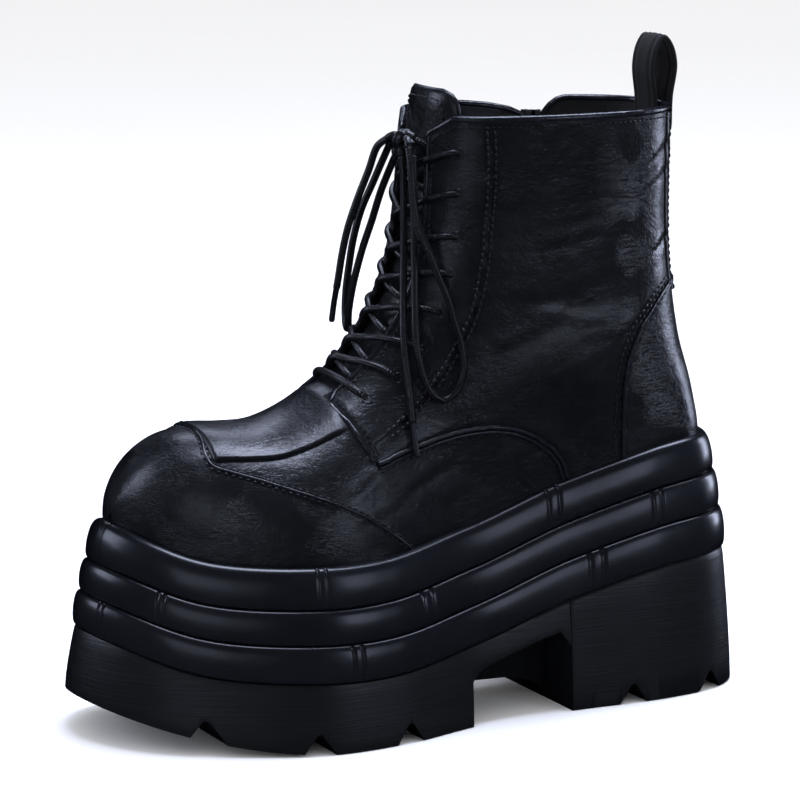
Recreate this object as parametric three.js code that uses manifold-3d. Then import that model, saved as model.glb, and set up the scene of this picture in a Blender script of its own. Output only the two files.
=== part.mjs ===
// Platform boot, left foot, side zip and front lacing. Millimetres, +Z up, toe towards -Y,
// lateral side towards +X. A place on the boot is given as (x, station, z): the station is the
// distance forward from the back of the heel, and the ground is z = 0.
import * as THREE from "three";
import { mergeVertices } from "three/addons/utils/BufferGeometryUtils.js";
import Module from "manifold-3d";

const wasm = await Module();
wasm.setup();

// ---------------------------------------------------------------- driving sizes
const SOLE_LENGTH = 284;
const GAP = 0.3;
const WALL = 2.2;
const COLLAR_Z = 241;
const TOE_SHIFT = -17;
const SHIFT_START = 120;

// Outline of the sole where it meets the ground: lateral and medial edge at each station.
const OUTLINE = [
  { s: 0, lateral: 0, medial: 0 },
  { s: 4, lateral: 21.5, medial: -21 },
  { s: 18, lateral: 34, medial: -33 },
  { s: 45, lateral: 40, medial: -38.5 },
  { s: 91, lateral: 40, medial: -35 },
  { s: 131, lateral: 43, medial: -36 },
  { s: 171, lateral: 54.5, medial: -45.5 },
  { s: 206, lateral: 56, medial: -54 },
  { s: 240, lateral: 42, medial: -57.5 },
  { s: 264, lateral: 25, medial: -52 },
  { s: 278, lateral: 5.5, medial: -38.5 },
  { s: SOLE_LENGTH, lateral: TOE_SHIFT, medial: TOE_SHIFT },
];

// Height of the top of the tread blocks, the line that the ribs follow.
const BLOCK_TOP = [
  { s: 0, z: 57.7 }, { s: 45, z: 55.1 }, { s: 90, z: 45.3 }, { s: 130, z: 33.3 },
  { s: 170, z: 27.6 }, { s: 210, z: 27.8 }, { s: 250, z: 31.1 }, { s: SOLE_LENGTH, z: 42.5 },
];

// The three platform ribs: height at the heel, what it loses by the toe, how far the groove
// under it is set in from the ground outline at the ends and sides, and how far it bulges.
const RIBS = [
  { name: "rib_low", heel: 16.8, loss: 2.8, end: 5, side: 4, bulge: 2.4 },
  { name: "rib_middle", heel: 15.8, loss: 2.9, end: 7.5, side: 6.3, bulge: 2.4 },
  { name: "rib_top", heel: 16.6, loss: 0.6, end: 10.5, side: 9, bulge: 3.4 },
];
const FEATHER_INSET = { end: 16.5, side: 13 };

const TOE_SPRING = 16.7;
const SPRING_START = 196;
const HEEL_FRONT = 89;
const FOREFOOT_BACK = 137;
const LUG_NOTCHES = [22, 61, 169, 209, 249];
const NOTCH_WIDTH = 12;
const NOTCH_DEPTH = 8;
const WAIST_PLATE = 10;
const WEB = { lateral: 14, medial: -18, floor: 10 };
const INSOLE = 3;

// Back of the upper, from the feather line to the collar.
const BACK = [
  { z: 60, s: 16.5 }, { z: 107, s: 16.5 }, { z: 120, s: 18 }, { z: 130, s: 19.5 }, { z: 144, s: 23 },
  { z: 159, s: 26.3 }, { z: 170, s: 28.2 }, { z: 185, s: 29.8 }, { z: 209, s: 30.6 }, { z: 260, s: 30.2 },
];

// Front of the upper, from the toe over the toe box, up the instep and the shaft.
const FRONT = [
  { s: 267.5, z: 85.7 }, { s: 267.2, z: 91 }, { s: 264.6, z: 98.5 }, { s: 259.5, z: 107.5 },
  { s: 253, z: 114.3 }, { s: 245, z: 118.9 }, { s: 234, z: 121 }, { s: 222, z: 120.8 },
  { s: 209, z: 121.6 }, { s: 194, z: 127.6 }, { s: 178, z: 139.2 }, { s: 166, z: 151.5 },
  { s: 156.5, z: 166 }, { s: 150.3, z: 180 }, { s: 146.6, z: 195 }, { s: 144.5, z: 211 },
  { s: 143, z: 228 }, { s: 142, z: COLLAR_Z }, { s: 141.5, z: 256 },
];

// Half width of the shaft at each height.
const SHAFT = [
  { z: 70, half: 31.5 }, { z: 107, half: 31.5 }, { z: 130, half: 33 }, { z: 150, half: 33 },
  { z: 170, half: 33 }, { z: 200, half: 34.5 }, { z: COLLAR_Z, half: 37.5 }, { z: 256, half: 38 },
];

const SHAFT_MIDDLE = 84;
const THROAT_HALF = 14;
const THROAT_END = 192;
const CORNER = 8;
const TONGUE_HALF = 23;
const TONGUE_TOP = 252;

// The closed side zip: its station on the medial side, the slit it fills, and its slider.
const ZIP = { s: 69, slit: 3.5, chain: 3, foot: 122, thick: 1.8 };
const ZIP_NOTCH = { back: 57, front: 81, floor: 233 };
const SLIDER = { low: 226, high: 236, half: 4, depth: 3.2 };
const BRIDGE = { half: 1.3, room: 2.4, thick: 1.2 };
const TAB = { length: 22, half: 3.25, thick: 1.6, window: 1.9, windowLength: 6.2 };

// The webbing loop at the back of the collar: middle line of the folded strap, in side view.
const STRAP = { half: 8.5, thick: 2 };
const STRAP_LINE = [
  { s: 35.6, z: 228 }, { s: 35.7, z: 243 }, { s: 37, z: 256 }, { s: 35.2, z: 264.5 }, { s: 32, z: 268.4 },
  { s: 28.6, z: 265 }, { s: 26.5, z: 257 }, { s: 28.4, z: 244 }, { s: 28.7, z: 232 },
];

// Lacing: one row of eyelets on each side for every height on the front line.
const LACE = 3;
const EYELET_X = 24;
const EYELET_ROWS = [
  { row: 1, z: 228.7 }, { row: 2, z: 212.3 }, { row: 3, z: 196.7 }, { row: 4, z: 183 },
  { row: 5, z: 170.6 }, { row: 6, z: 158 }, { row: 7, z: 147.6 }, { row: 8, z: 138.4 },
];
const KNOT = { x: 5, s: 148.2, z: 231.4, across: 6.4, deep: 4.2, high: 4.6 };
const AGLET = 14;

// Middle lines of the bow's loose strands, starting at the knot.
const LOOP_LATERAL = [
  { x: 13.4, s: 150.6, z: 229.8 }, { x: 16.4, s: 150.9, z: 221.4 }, { x: 18.2, s: 151, z: 209.7 },
  { x: 20.7, s: 150.1, z: 200 }, { x: 24.3, s: 147.4, z: 190.4 }, { x: 27.2, s: 143.6, z: 178.6 },
  { x: 28.4, s: 141, z: 171.8 }, { x: 29.5, s: 137.9, z: 160.6 }, { x: 30.8, s: 135.8, z: 152.6 },
  { x: 32, s: 135.6, z: 141.5 }, { x: 32.2, s: 138.5, z: 134.6 }, { x: 31.8, s: 144.1, z: 131.3 },
  { x: 31, s: 149, z: 134.4 }, { x: 30, s: 151.9, z: 140.4 }, { x: 28.7, s: 153.9, z: 149.5 },
  { x: 26.9, s: 154, z: 157 }, { x: 22.8, s: 152.4, z: 170.5 }, { x: 17.9, s: 150.2, z: 189.5 },
  { x: 14.9, s: 149, z: 205.1 }, { x: 13, s: 148.2, z: 219 }, { x: 11.2, s: 147.6, z: 226.2 },
];
const END_LATERAL = [
  { x: 6.8, s: 150.6, z: 225.8 }, { x: 7.6, s: 150.2, z: 219.4 }, { x: 8.9, s: 150.6, z: 208.6 },
  { x: 12.3, s: 152.2, z: 189.3 }, { x: 18, s: 155.2, z: 170.3 }, { x: 23.8, s: 157.8, z: 155.4 },
  { x: 28.2, s: 158.4, z: 142 }, { x: 31, s: 158.3, z: 132.2 }, { x: 33.2, s: 158.3, z: 122.6 },
  { x: 34.8, s: 158.2, z: 115 }, { x: 35.8, s: 157.6, z: 109.9 },
];
const LOOP_MEDIAL = [
  { x: -3.8, s: 150.6, z: 229.2 }, { x: -10, s: 150, z: 223.6 }, { x: -17, s: 151, z: 213.7 },
  { x: -22, s: 154.4, z: 201.1 }, { x: -26, s: 156.1, z: 188.6 }, { x: -29, s: 156.5, z: 178 },
  { x: -31, s: 157, z: 167.5 }, { x: -31, s: 157.4, z: 158.5 }, { x: -28, s: 158.4, z: 153.2 },
  { x: -24, s: 159.4, z: 153.1 }, { x: -20.5, s: 160.8, z: 160.2 }, { x: -18, s: 160, z: 171.5 },
  { x: -16, s: 156.9, z: 185.8 }, { x: -14, s: 153.4, z: 198 }, { x: -11, s: 151, z: 209.5 },
  { x: -7, s: 149.2, z: 218.5 }, { x: -2, s: 148.6, z: 225.4 },
];
const END_MEDIAL = [
  { x: -0.6, s: 153, z: 232.2 }, { x: -5.6, s: 155, z: 228.6 }, { x: -10, s: 156.8, z: 218.6 },
  { x: -14, s: 160, z: 206.4 }, { x: -17, s: 162.6, z: 195.3 }, { x: -20, s: 163.8, z: 184.5 },
  { x: -22, s: 164.8, z: 173.3 }, { x: -24, s: 165.6, z: 164.2 }, { x: -24.4, s: 166.6, z: 156 },
];

const COLOURS = {
  rubber: 0x15161b, leather: 0x17181d, tongue: 0x141519, lining: 0x0e0f12, webbing: 0x131418,
  coil: 0x0c0d10, metal: 0x1a1b1f, lace: 0x121317, aglet: 0x0d0e11,
};

// ---------------------------------------------------------------- small tools
const clamp = (v, low, high) => Math.min(high, Math.max(low, v));
const mix = (a, b, t) => a + (b - a) * t;
const smoothstep = (a, b, v) => {
  const t = clamp((v - a) / (b - a), 0, 1);
  return t * t * (3 - 2 * t);
};
const place = (x, s, z) => new THREE.Vector3(x, -s, z);

// A smooth function through the rows of a table, with slopes from the neighbouring rows.
function smoothTable(rows, key, value) {
  const n = rows.length;
  const slope = rows.map((row, i) => {
    const a = rows[Math.max(0, i - 1)];
    const b = rows[Math.min(n - 1, i + 1)];
    return (b[value] - a[value]) / (b[key] - a[key]);
  });
  return (at) => {
    const v = clamp(at, rows[0][key], rows[n - 1][key]);
    let i = 0;
    while (i < n - 2 && v > rows[i + 1][key]) i += 1;
    const width = rows[i + 1][key] - rows[i][key];
    const t = (v - rows[i][key]) / width;
    const a = rows[i][value];
    const b = rows[i + 1][value];
    const m0 = slope[i] * width;
    const m1 = slope[i + 1] * width;
    return a + t * (m0 + t * (3 * (b - a) - 2 * m0 - m1 + t * (2 * (a - b) + m0 + m1)));
  };
}

// A piecewise straight function through sorted samples.
function lookup(samples, key, value) {
  const first = samples[0];
  const last = samples[samples.length - 1];
  return (at) => {
    if (at <= first[key]) return first[value];
    if (at >= last[key]) return last[value];
    let low = 0;
    let high = samples.length - 1;
    while (high - low > 1) {
      const mid = (low + high) >> 1;
      if (samples[mid][key] > at) high = mid;
      else low = mid;
    }
    const t = (at - samples[low][key]) / (samples[high][key] - samples[low][key]);
    return mix(samples[low][value], samples[high][value], t);
  };
}

// ---------------------------------------------------------------- sole lines
const blockTop = smoothTable(BLOCK_TOP, "s", "z");
const ribHeight = (rib, s) => rib.heel - (rib.loss * s) / SOLE_LENGTH;
const soleLine = (level, s) => RIBS.slice(0, level).reduce((z, rib) => z + ribHeight(rib, s), blockTop(s));
const soleTop = (s) => soleLine(RIBS.length, s);
const ground = (s) => TOE_SPRING * clamp((s - SPRING_START) / (SOLE_LENGTH - SPRING_START), 0, 1) ** 2;
const centreLine = (s) => TOE_SHIFT * clamp((s - SHIFT_START) / (SOLE_LENGTH - SHIFT_START), 0, 1) ** 2;

const outlineCurve = new THREE.CatmullRomCurve3(
  [
    ...OUTLINE.map((row) => new THREE.Vector3(row.lateral, row.s, 0)),
    ...OUTLINE.slice(1, -1).reverse().map((row) => new THREE.Vector3(row.medial, row.s, 0)),
  ],
  true,
  "centripetal",
);

// The outline set in by an amount that differs between the sides and the two ends. Point 0 is
// the heel, the middle point is the toe, and the list runs along the lateral side first. Each
// point keeps the station that it had on the ground, because the heights follow that one.
function outlineLoop(count, inset) {
  const loop = [];
  for (let i = 0; i < count; i += 1) {
    const point = outlineCurve.getPoint(i / count);
    const along = outlineCurve.getTangent(i / count);
    const inward = new THREE.Vector3(-along.y, along.x, 0).normalize();
    const amount = mix(inset.side, inset.end, inward.y * inward.y);
    loop.push({ x: point.x + inward.x * amount, s: point.y + inward.y * amount, foot: point.y });
  }
  return loop;
}
const LOOP = 66;

// ---------------------------------------------------------------- solids from rings
function geometryFrom(points, triangles) {
  const geometry = new THREE.BufferGeometry();
  geometry.setAttribute("position", new THREE.Float32BufferAttribute(points.flatMap((p) => [p.x, p.y, p.z]), 3));
  geometry.setIndex(triangles);
  return geometry;
}

// Rings with the same number of points, stacked upwards and closed at both ends by strips that
// run across from one side of the ring to the other.
function stackSolid(rings) {
  const n = rings[0].length;
  const points = rings.flat();
  const triangles = [];
  for (let r = 0; r + 1 < rings.length; r += 1) {
    for (let i = 0; i < n; i += 1) {
      const a = r * n + i;
      const b = r * n + ((i + 1) % n);
      triangles.push(a, a + n, b, b, a + n, b + n);
    }
  }
  const cap = (base, up) => {
    for (let i = 0; i < n / 2; i += 1) {
      const [a, b] = [base + i, base + i + 1];
      const [c, d] = [base + ((n - i) % n), base + n - i - 1];
      const faces = [[a, c, b], [b, c, d]].filter((f) => new Set(f).size === 3);
      for (const f of faces) triangles.push(...(up ? f : [...f].reverse()));
    }
  };
  cap(0, false);
  cap((rings.length - 1) * n, true);
  return geometryFrom(points, triangles);
}

// manifold-3d joins and cuts closed meshes.
function solid(geometry) {
  const bare = new THREE.BufferGeometry();
  bare.setAttribute("position", geometry.getAttribute("position").clone());
  if (geometry.index) bare.setIndex(geometry.index.clone());
  const merged = mergeVertices(bare, 1e-4);
  const index = merged.index.array;
  const kept = [];
  for (let i = 0; i < index.length; i += 3) {
    const [a, b, c] = [index[i], index[i + 1], index[i + 2]];
    if (a !== b && b !== c && a !== c) kept.push(a, b, c);
  }
  return new wasm.Manifold(new wasm.Mesh({
    numProp: 3,
    vertProperties: new Float32Array(merged.getAttribute("position").array),
    triVerts: new Uint32Array(kept),
  }));
}

function geometryOf(manifold) {
  const mesh = manifold.getMesh();
  const geometry = new THREE.BufferGeometry();
  geometry.setAttribute("position", new THREE.Float32BufferAttribute(mesh.vertProperties, 3));
  geometry.setIndex([...mesh.triVerts]);
  return geometry;
}

// A side-view outline of (station, z) pairs, extruded across the boot from one x to another.
function sideCut(pairs, fromX, toX) {
  const shape = new THREE.Shape(pairs.map(([s, z]) => new THREE.Vector2(s, z)));
  const block = new THREE.ExtrudeGeometry(shape, { depth: toX - fromX, bevelEnabled: false });
  // The shape's x becomes the station (-Y), its y becomes z, and its depth becomes -x.
  block.applyMatrix4(new THREE.Matrix4().set(0, 0, -1, toX, -1, 0, 0, 0, 0, 1, 0, 0, 0, 0, 0, 1));
  return solid(block);
}

// ---------------------------------------------------------------- the sole unit
function ribGeometry(level) {
  const rib = RIBS[level];
  const above = RIBS[level + 1] ?? FEATHER_INSET;
  const steps = 4;
  const rings = [];
  for (let k = 0; k <= steps; k += 1) {
    const t = k / steps;
    const out = rib.bulge * Math.sin(Math.PI * t) ** 0.7;
    const inset = { end: mix(rib.end, above.end, t) - out, side: mix(rib.side, above.side, t) - out };
    const rise = 0.5 - 0.5 * Math.cos(Math.PI * t);
    rings.push(outlineLoop(LOOP, inset).map(({ x, s, foot }) => {
      const low = soleLine(level, foot) + GAP;
      return place(x, s, mix(low, soleLine(level + 1, foot), rise));
    }));
  }
  return stackSolid(rings);
}

// Tread blocks: one body from the ground to the lowest groove, cut apart at the waist.
function treadBody() {
  const flare = { end: 0, side: 0 };
  const top = { end: RIBS[0].end - 0.5, side: RIBS[0].side - 0.5 };
  const rings = [0, 0.5, 1].map((t) => outlineLoop(LOOP, {
    end: mix(flare.end, top.end, t ** 1.4),
    side: mix(flare.side, top.side, t ** 1.4),
  }).map(({ x, s, foot }) => place(x, s, mix(ground(foot), blockTop(foot), t))));
  return solid(stackSolid(rings));
}

function notchCuts() {
  return LUG_NOTCHES.map((s) => {
    const low = ground(s);
    const half = NOTCH_WIDTH / 2;
    return sideCut([[s - half * 1.5, low - NOTCH_DEPTH / 2], [s + half * 1.5, low - NOTCH_DEPTH / 2],
      [s + 1, low + NOTCH_DEPTH], [s - 1, low + NOTCH_DEPTH]], -90, 90);
  });
}

function buildOutsole() {
  const body = treadBody();
  const forefoot = sideCut([[FOREFOOT_BACK, -20], [320, -20], [320, 200], [FOREFOOT_BACK - 1, 200]], -90, 90);
  const plate = sideCut([
    [HEEL_FRONT + GAP, blockTop(HEEL_FRONT) - WAIST_PLATE - 1.5], [105, blockTop(105) - WAIST_PLATE],
    [120, blockTop(120) - WAIST_PLATE], [FOREFOOT_BACK + 5, blockTop(FOREFOOT_BACK) - WAIST_PLATE],
    [FOREFOOT_BACK + 5, 200], [HEEL_FRONT + GAP, 200],
  ], -90, 90);
  const web = sideCut([
    [HEEL_FRONT + GAP, WEB.floor - 6], [94, WEB.floor - 3], [103, WEB.floor], [FOREFOOT_BACK + 5, WEB.floor + 1],
    [FOREFOOT_BACK + 5, 200], [HEEL_FRONT + GAP, 200],
  ], WEB.medial, WEB.lateral);
  const waist = body.intersect(plate.add(web));
  return notchCuts().reduce((rest, cut) => rest.subtract(cut), body.intersect(forefoot).add(waist));
}

function buildHeel() {
  const keep = sideCut([[-20, -20], [HEEL_FRONT, -20], [HEEL_FRONT, 200], [-20, 200]], -90, 90);
  return notchCuts().reduce((rest, cut) => rest.subtract(cut), treadBody().intersect(keep));
}

// ---------------------------------------------------------------- the upper's own function
const backLine = smoothTable(BACK, "z", "s");
const shaftHalf = smoothTable(SHAFT, "z", "half");
const frontCurve = new THREE.CatmullRomCurve3(
  FRONT.map((row) => new THREE.Vector3(row.s, row.z, 0)), false, "centripetal");
const frontSamples = frontCurve.getSpacedPoints(600).map((p) => ({ s: p.x, z: p.y }));
const ridgeHeight = lookup([...frontSamples].reverse().sort((a, b) => a.s - b.s), "s", "z");
const instepSamples = frontSamples.filter((p) => p.s < 205);
const instepStation = lookup(instepSamples, "z", "s");
const INSTEP_FOOT = instepSamples[0];

// Below the instep the horizontal sections run on under the vamp, so their nose lies far forward.
const frontStation = (z) => (z > INSTEP_FOOT.z ? instepStation(z) : INSTEP_FOOT.s + 4 * (INSTEP_FOOT.z - z));

const featherLoop = outlineLoop(600, FEATHER_INSET);
const featherRows = featherLoop.map((p) => (
  { s: p.s, half: Math.abs(p.x - centreLine(p.s)), z: soleTop(p.foot) + 1.7 * GAP }));
const featherSides = {
  lateral: featherRows.slice(0, 301),
  medial: [...featherRows.slice(300), featherRows[0]].reverse(),
};
const featherHalf = {
  lateral: lookup(featherSides.lateral, "s", "half"),
  medial: lookup(featherSides.medial, "s", "half"),
};
const featherZ = {
  lateral: lookup(featherSides.lateral, "s", "z"),
  medial: lookup(featherSides.medial, "s", "z"),
};
const FEATHER_BACK = featherLoop[0].s;
const FEATHER_TOE = featherLoop[300].s;

const nose = (t, power) => (1 - clamp(t, 0, 1) ** power) ** (1 / power);

// Distance from the centre line to the skin, on one side, at a station and height.
function skinHalf(side, s, z) {
  const base = featherHalf[side];
  const foot = featherZ[side](s);
  const height = (z - foot) / Math.max(1, ridgeHeight(s) - foot);
  const vamp = base(s) * nose(height, mix(2.15, 2.5, smoothstep(205, 245, s)));
  const back = backLine(z);
  const heelStation = s - (back - FEATHER_BACK) * (1 - smoothstep(FEATHER_BACK, 120, s));
  const behind = s < SHAFT_MIDDLE ? nose((SHAFT_MIDDLE - s) / (SHAFT_MIDDLE - back), 2.3) : 1;
  const wall = mix(base(heelStation), shaftHalf(z) * behind, smoothstep(foot, 150, z));
  const ahead = s > SHAFT_MIDDLE ? nose((s - SHAFT_MIDDLE) / (frontStation(z) - SHAFT_MIDDLE), 2.5) : 1;
  return mix(wall * ahead, vamp, smoothstep(142, 196, s));
}

function skinPoint(side, s, z) {
  const sign = side === "lateral" ? 1 : -1;
  return place(centreLine(s) + sign * skinHalf(side, s, z), s, z);
}

// ---------------------------------------------------------------- the upper
const COLUMNS = 40;
const ROWS = 12;
const COLLAR_SHARE = 0.42;
const THROAT_SHARE = 0.64;

// The throat's edge: half its width at a point of the front line. Its lower end is round, and at
// the collar the corners of the two facings are rounded off.
function throatHalf({ s, z }) {
  const end = clamp((s - (THROAT_END - THROAT_HALF)) / THROAT_HALF, 0, 1);
  const corner = clamp((z - (COLLAR_Z - CORNER)) / CORNER, 0, 1);
  return THROAT_HALF * Math.sqrt(1 - end ** 2) + CORNER * (1 - Math.sqrt(1 - corner ** 2));
}

const featherStation = (share) => mix(FEATHER_BACK, FEATHER_TOE, 0.5 - 0.5 * Math.cos(Math.PI * share));
const throatPath = frontSamples.filter((p) => p.z <= COLLAR_Z && p.s <= THROAT_END);
const collarReach = nose((THROAT_HALF + CORNER) / shaftHalf(COLLAR_Z), 2.5);
const collarFront = mix(SHAFT_MIDDLE, frontStation(COLLAR_Z), collarReach);

// Where a column of the skin starts on the feather line and ends on the collar, the throat or
// the ridge. half is half the throat's width there.
function columnEnds(share) {
  const from = featherStation(share);
  if (share <= COLLAR_SHARE) {
    const t = share / COLLAR_SHARE;
    const s = mix(backLine(COLLAR_Z), collarFront, mix(t, 1 - Math.cos(0.5 * Math.PI * t), 0.6));
    return { from, s, z: COLLAR_Z, half: 0 };
  }
  if (share < THROAT_SHARE) {
    const t = (share - COLLAR_SHARE) / (THROAT_SHARE - COLLAR_SHARE);
    const at = throatPath[Math.round((throatPath.length - 1) * (1 - smoothstep(0, 1, t)))];
    return { from, s: at.s, z: at.z, half: throatHalf(at) };
  }
  return { from, s: from, z: ridgeHeight(from), half: 0 };
}

function skinColumn(side, share) {
  const end = columnEnds(share);
  const foot = featherZ[side](end.from);
  const heelBend = 1 - smoothstep(0, 0.2, share);
  const at = (t) => {
    const z = mix(foot, end.z, t);
    const chord = mix(FEATHER_BACK, backLine(COLLAR_Z), t);
    return { s: mix(end.from, end.s, t) + (backLine(z) - chord) * heelBend, z };
  };
  let reach = 1;
  let short = 0.4;
  for (let step = 0; step < 24 && end.half > 0; step += 1) {
    const middle = (short + reach) / 2;
    const p = at(middle);
    if (skinHalf(side, p.s, p.z) > end.half) short = middle;
    else reach = middle;
  }
  const crowd = smoothstep(COLLAR_SHARE - 0.1, COLLAR_SHARE + 0.12, share);
  const column = [];
  for (let row = 0; row <= ROWS; row += 1) {
    const t = row / ROWS;
    const p = at(reach * mix(t, Math.sin(0.5 * Math.PI * t), crowd));
    column.push(skinPoint(side, p.s, p.z));
  }
  return column;
}

// A sheet made solid: the sheet itself, moved out by one amount and in by another along its own
// normals, and a strip along its free edges.
function thicken(points, triangles, outward, inward) {
  const merged = mergeVertices(geometryFrom(points, triangles), 1e-3);
  const corners = merged.index.array;
  const faces = [];
  for (let i = 0; i < corners.length; i += 3) {
    const face = [corners[i], corners[i + 1], corners[i + 2]];
    if (new Set(face).size === 3) faces.push(face);
  }
  merged.setIndex(faces.flat());
  merged.computeVertexNormals();
  const skin = merged.getAttribute("position");
  const normals = merged.getAttribute("normal");
  const n = skin.count;
  const moved = (amount) => Array.from({ length: n }, (_, i) => (
    new THREE.Vector3().fromBufferAttribute(skin, i).addScaledVector(
      new THREE.Vector3().fromBufferAttribute(normals, i), amount)));
  const edges = new Map();
  for (const [a, b, c] of faces) {
    for (const [p, q] of [[a, b], [b, c], [c, a]]) edges.set(`${p},${q}`, [p, q]);
  }
  const rim = [...edges.values()].filter(([p, q]) => !edges.has(`${q},${p}`));
  const all = [
    ...faces,
    ...faces.map(([a, b, c]) => [c + n, b + n, a + n]),
    ...rim.flatMap(([p, q]) => [[q, p, p + n], [q, p + n, q + n]]),
  ];
  return geometryFrom([...moved(outward), ...moved(-inward)], all.flat());
}

function upperSheet() {
  const points = [];
  const triangles = [];
  for (const side of ["lateral", "medial"]) {
    const base = points.length;
    for (let column = 0; column <= COLUMNS; column += 1) points.push(...skinColumn(side, column / COLUMNS));
    for (let column = 0; column < COLUMNS; column += 1) {
      for (let row = 0; row < ROWS; row += 1) {
        const a = base + column * (ROWS + 1) + row;
        const b = a + ROWS + 1;
        const quad = [[a, b + 1, b], [a, a + 1, b + 1]];
        for (const face of quad) triangles.push(...(side === "lateral" ? face : face.reverse()));
      }
    }
  }
  return { points, triangles };
}

// Brings the inner edge of the feather line to the height of the outer edge, so that the wall
// stands square on the top rib.
function levelFoot(geometry) {
  const position = geometry.getAttribute("position");
  const n = position.count / 2;
  for (let i = 0; i < n; i += 1) {
    const s = -position.getY(i);
    const side = position.getX(i) > centreLine(s) ? "lateral" : "medial";
    if (position.getZ(i) - featherZ[side](s) < 0.05) position.setZ(i + n, position.getZ(i));
  }
  return geometry;
}

function buildUpper() {
  const sheet = upperSheet();
  const slit = sideCut([
    [ZIP.s - ZIP.slit, ZIP.foot], [ZIP.s + ZIP.slit, ZIP.foot], [ZIP.s + ZIP.slit, ZIP_NOTCH.floor],
    [ZIP_NOTCH.front, COLLAR_Z + 2], [ZIP_NOTCH.back, COLLAR_Z + 2], [ZIP.s - ZIP.slit, ZIP_NOTCH.floor],
  ], -60, -20);
  return geometryOf(solid(levelFoot(thicken(sheet.points, sheet.triangles, 0, WALL))).subtract(slit));
}

// ---------------------------------------------------------------- tongue and insole
// A point of the skin at a given distance from the centre line, under a point of the front line.
function nearRidge(path, index, x) {
  const p = path[index];
  const a = path[Math.max(0, index - 6)];
  const b = path[Math.min(path.length - 1, index + 6)];
  const length = Math.hypot(b.s - a.s, b.z - a.z);
  const into = { s: -(b.z - a.z) / length, z: (b.s - a.s) / length };
  const side = x > 0 ? "lateral" : "medial";
  let [near, far] = [0, 45];
  for (let step = 0; step < 26; step += 1) {
    const middle = (near + far) / 2;
    if (skinHalf(side, p.s + into.s * middle, p.z + into.z * middle) > Math.abs(x)) far = middle;
    else near = middle;
  }
  const s = p.s + into.s * far;
  return place(centreLine(s) + x, s, p.z + into.z * far);
}

function buildTongue() {
  const path = frontSamples.filter((p) => p.s < THROAT_END + 8 && p.z < TONGUE_TOP);
  const [rows, across] = [18, 8];
  const points = [];
  const triangles = [];
  for (let row = 0; row <= rows; row += 1) {
    const index = Math.round(((path.length - 1) * row) / rows);
    for (let i = 0; i <= across; i += 1) points.push(nearRidge(path, index, mix(-TONGUE_HALF, TONGUE_HALF, i / across)));
  }
  for (let row = 0; row < rows; row += 1) {
    for (let i = 0; i < across; i += 1) {
      const a = row * (across + 1) + i;
      const b = a + across + 1;
      triangles.push(a, a + 1, b, a + 1, b + 1, b);
    }
  }
  return thicken(points, triangles, -(WALL + 1), WALL + 1 + 2.5);
}

function buildInsole() {
  const clear = WALL + 1.2;
  const inset = { end: FEATHER_INSET.end + clear, side: FEATHER_INSET.side + clear };
  const rings = [0, INSOLE].map((up) => outlineLoop(LOOP, inset).map(({ x, s, foot }) => (
    place(x, s, soleTop(foot) + 1.5 * GAP + up))));
  return stackSolid(rings);
}

// ---------------------------------------------------------------- zip
function buildZipChain() {
  const [rows, across] = [12, 3];
  const foot = ZIP.foot + 1;
  const top = SLIDER.high + 1;
  const points = [];
  const triangles = [];
  for (let row = 0; row <= rows; row += 1) {
    for (let i = 0; i <= across; i += 1) {
      points.push(skinPoint("medial", mix(ZIP.s - ZIP.chain, ZIP.s + ZIP.chain, i / across), mix(foot, top, row / rows)));
    }
  }
  for (let row = 0; row < rows; row += 1) {
    for (let i = 0; i < across; i += 1) {
      const a = row * (across + 1) + i;
      const b = a + across + 1;
      triangles.push(a, a + 1, b, a + 1, b + 1, b);
    }
  }
  return thicken(points, triangles, -0.2, ZIP.thick + 0.2);
}

// The slider lies on the skin, and its bridge stands over the tab's crossbar.
const sliderBack = skinHalf("medial", ZIP.s + SLIDER.half, SLIDER.high) + GAP;
const sliderFace = sliderBack + SLIDER.depth;
const hinge = place(-(sliderFace + BRIDGE.room / 2), ZIP.s, (SLIDER.low + SLIDER.high) / 2);

function buildZipSlider() {
  const corner = 1.6;
  const [back, front] = [ZIP.s - SLIDER.half, ZIP.s + SLIDER.half];
  const body = sideCut([
    [back + corner, SLIDER.low], [front - corner, SLIDER.low], [front - corner / 2, SLIDER.low + corner],
    [front, SLIDER.high - corner], [front - corner, SLIDER.high], [back + corner, SLIDER.high],
    [back, SLIDER.high - corner], [back + corner / 2, SLIDER.low + corner],
  ], -sliderFace, -sliderBack);
  const piece = (low, high, fromX, toX) => sideCut([
    [ZIP.s - BRIDGE.half, low], [ZIP.s + BRIDGE.half, low], [ZIP.s + BRIDGE.half, high],
    [ZIP.s - BRIDGE.half, high],
  ], fromX, toX);
  const outer = -(sliderFace + BRIDGE.room + BRIDGE.thick);
  const [low, high] = [SLIDER.low + 0.2, SLIDER.high - 0.2];
  return body
    .add(piece(low, low + BRIDGE.thick, outer, -sliderFace + 0.5))
    .add(piece(high - BRIDGE.thick, high, outer, -sliderFace + 0.5))
    .add(piece(low, high, outer, outer + BRIDGE.thick));
}

function buildZipPull() {
  const { half, window, windowLength, length, thick } = TAB;
  const [s, top, x] = [ZIP.s, hinge.z, hinge.x];
  const plate = sideCut([
    [s - half, top], [s - half, top - 8], [s - half * 0.75, top - length + 2],
    [s - half * 0.45, top - length], [s + half * 0.45, top - length], [s + half * 0.75, top - length + 2],
    [s + half, top - 8], [s + half, top], [s + window, top], [s + window, top - windowLength],
    [s - window, top - windowLength], [s - window, top],
  ], x - thick / 2, x + thick / 2);
  const crossbar = new THREE.CylinderGeometry(thick / 2, thick / 2, 2 * half, 12);
  crossbar.translate(hinge.x, hinge.y, hinge.z);
  return plate.add(solid(crossbar));
}

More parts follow.
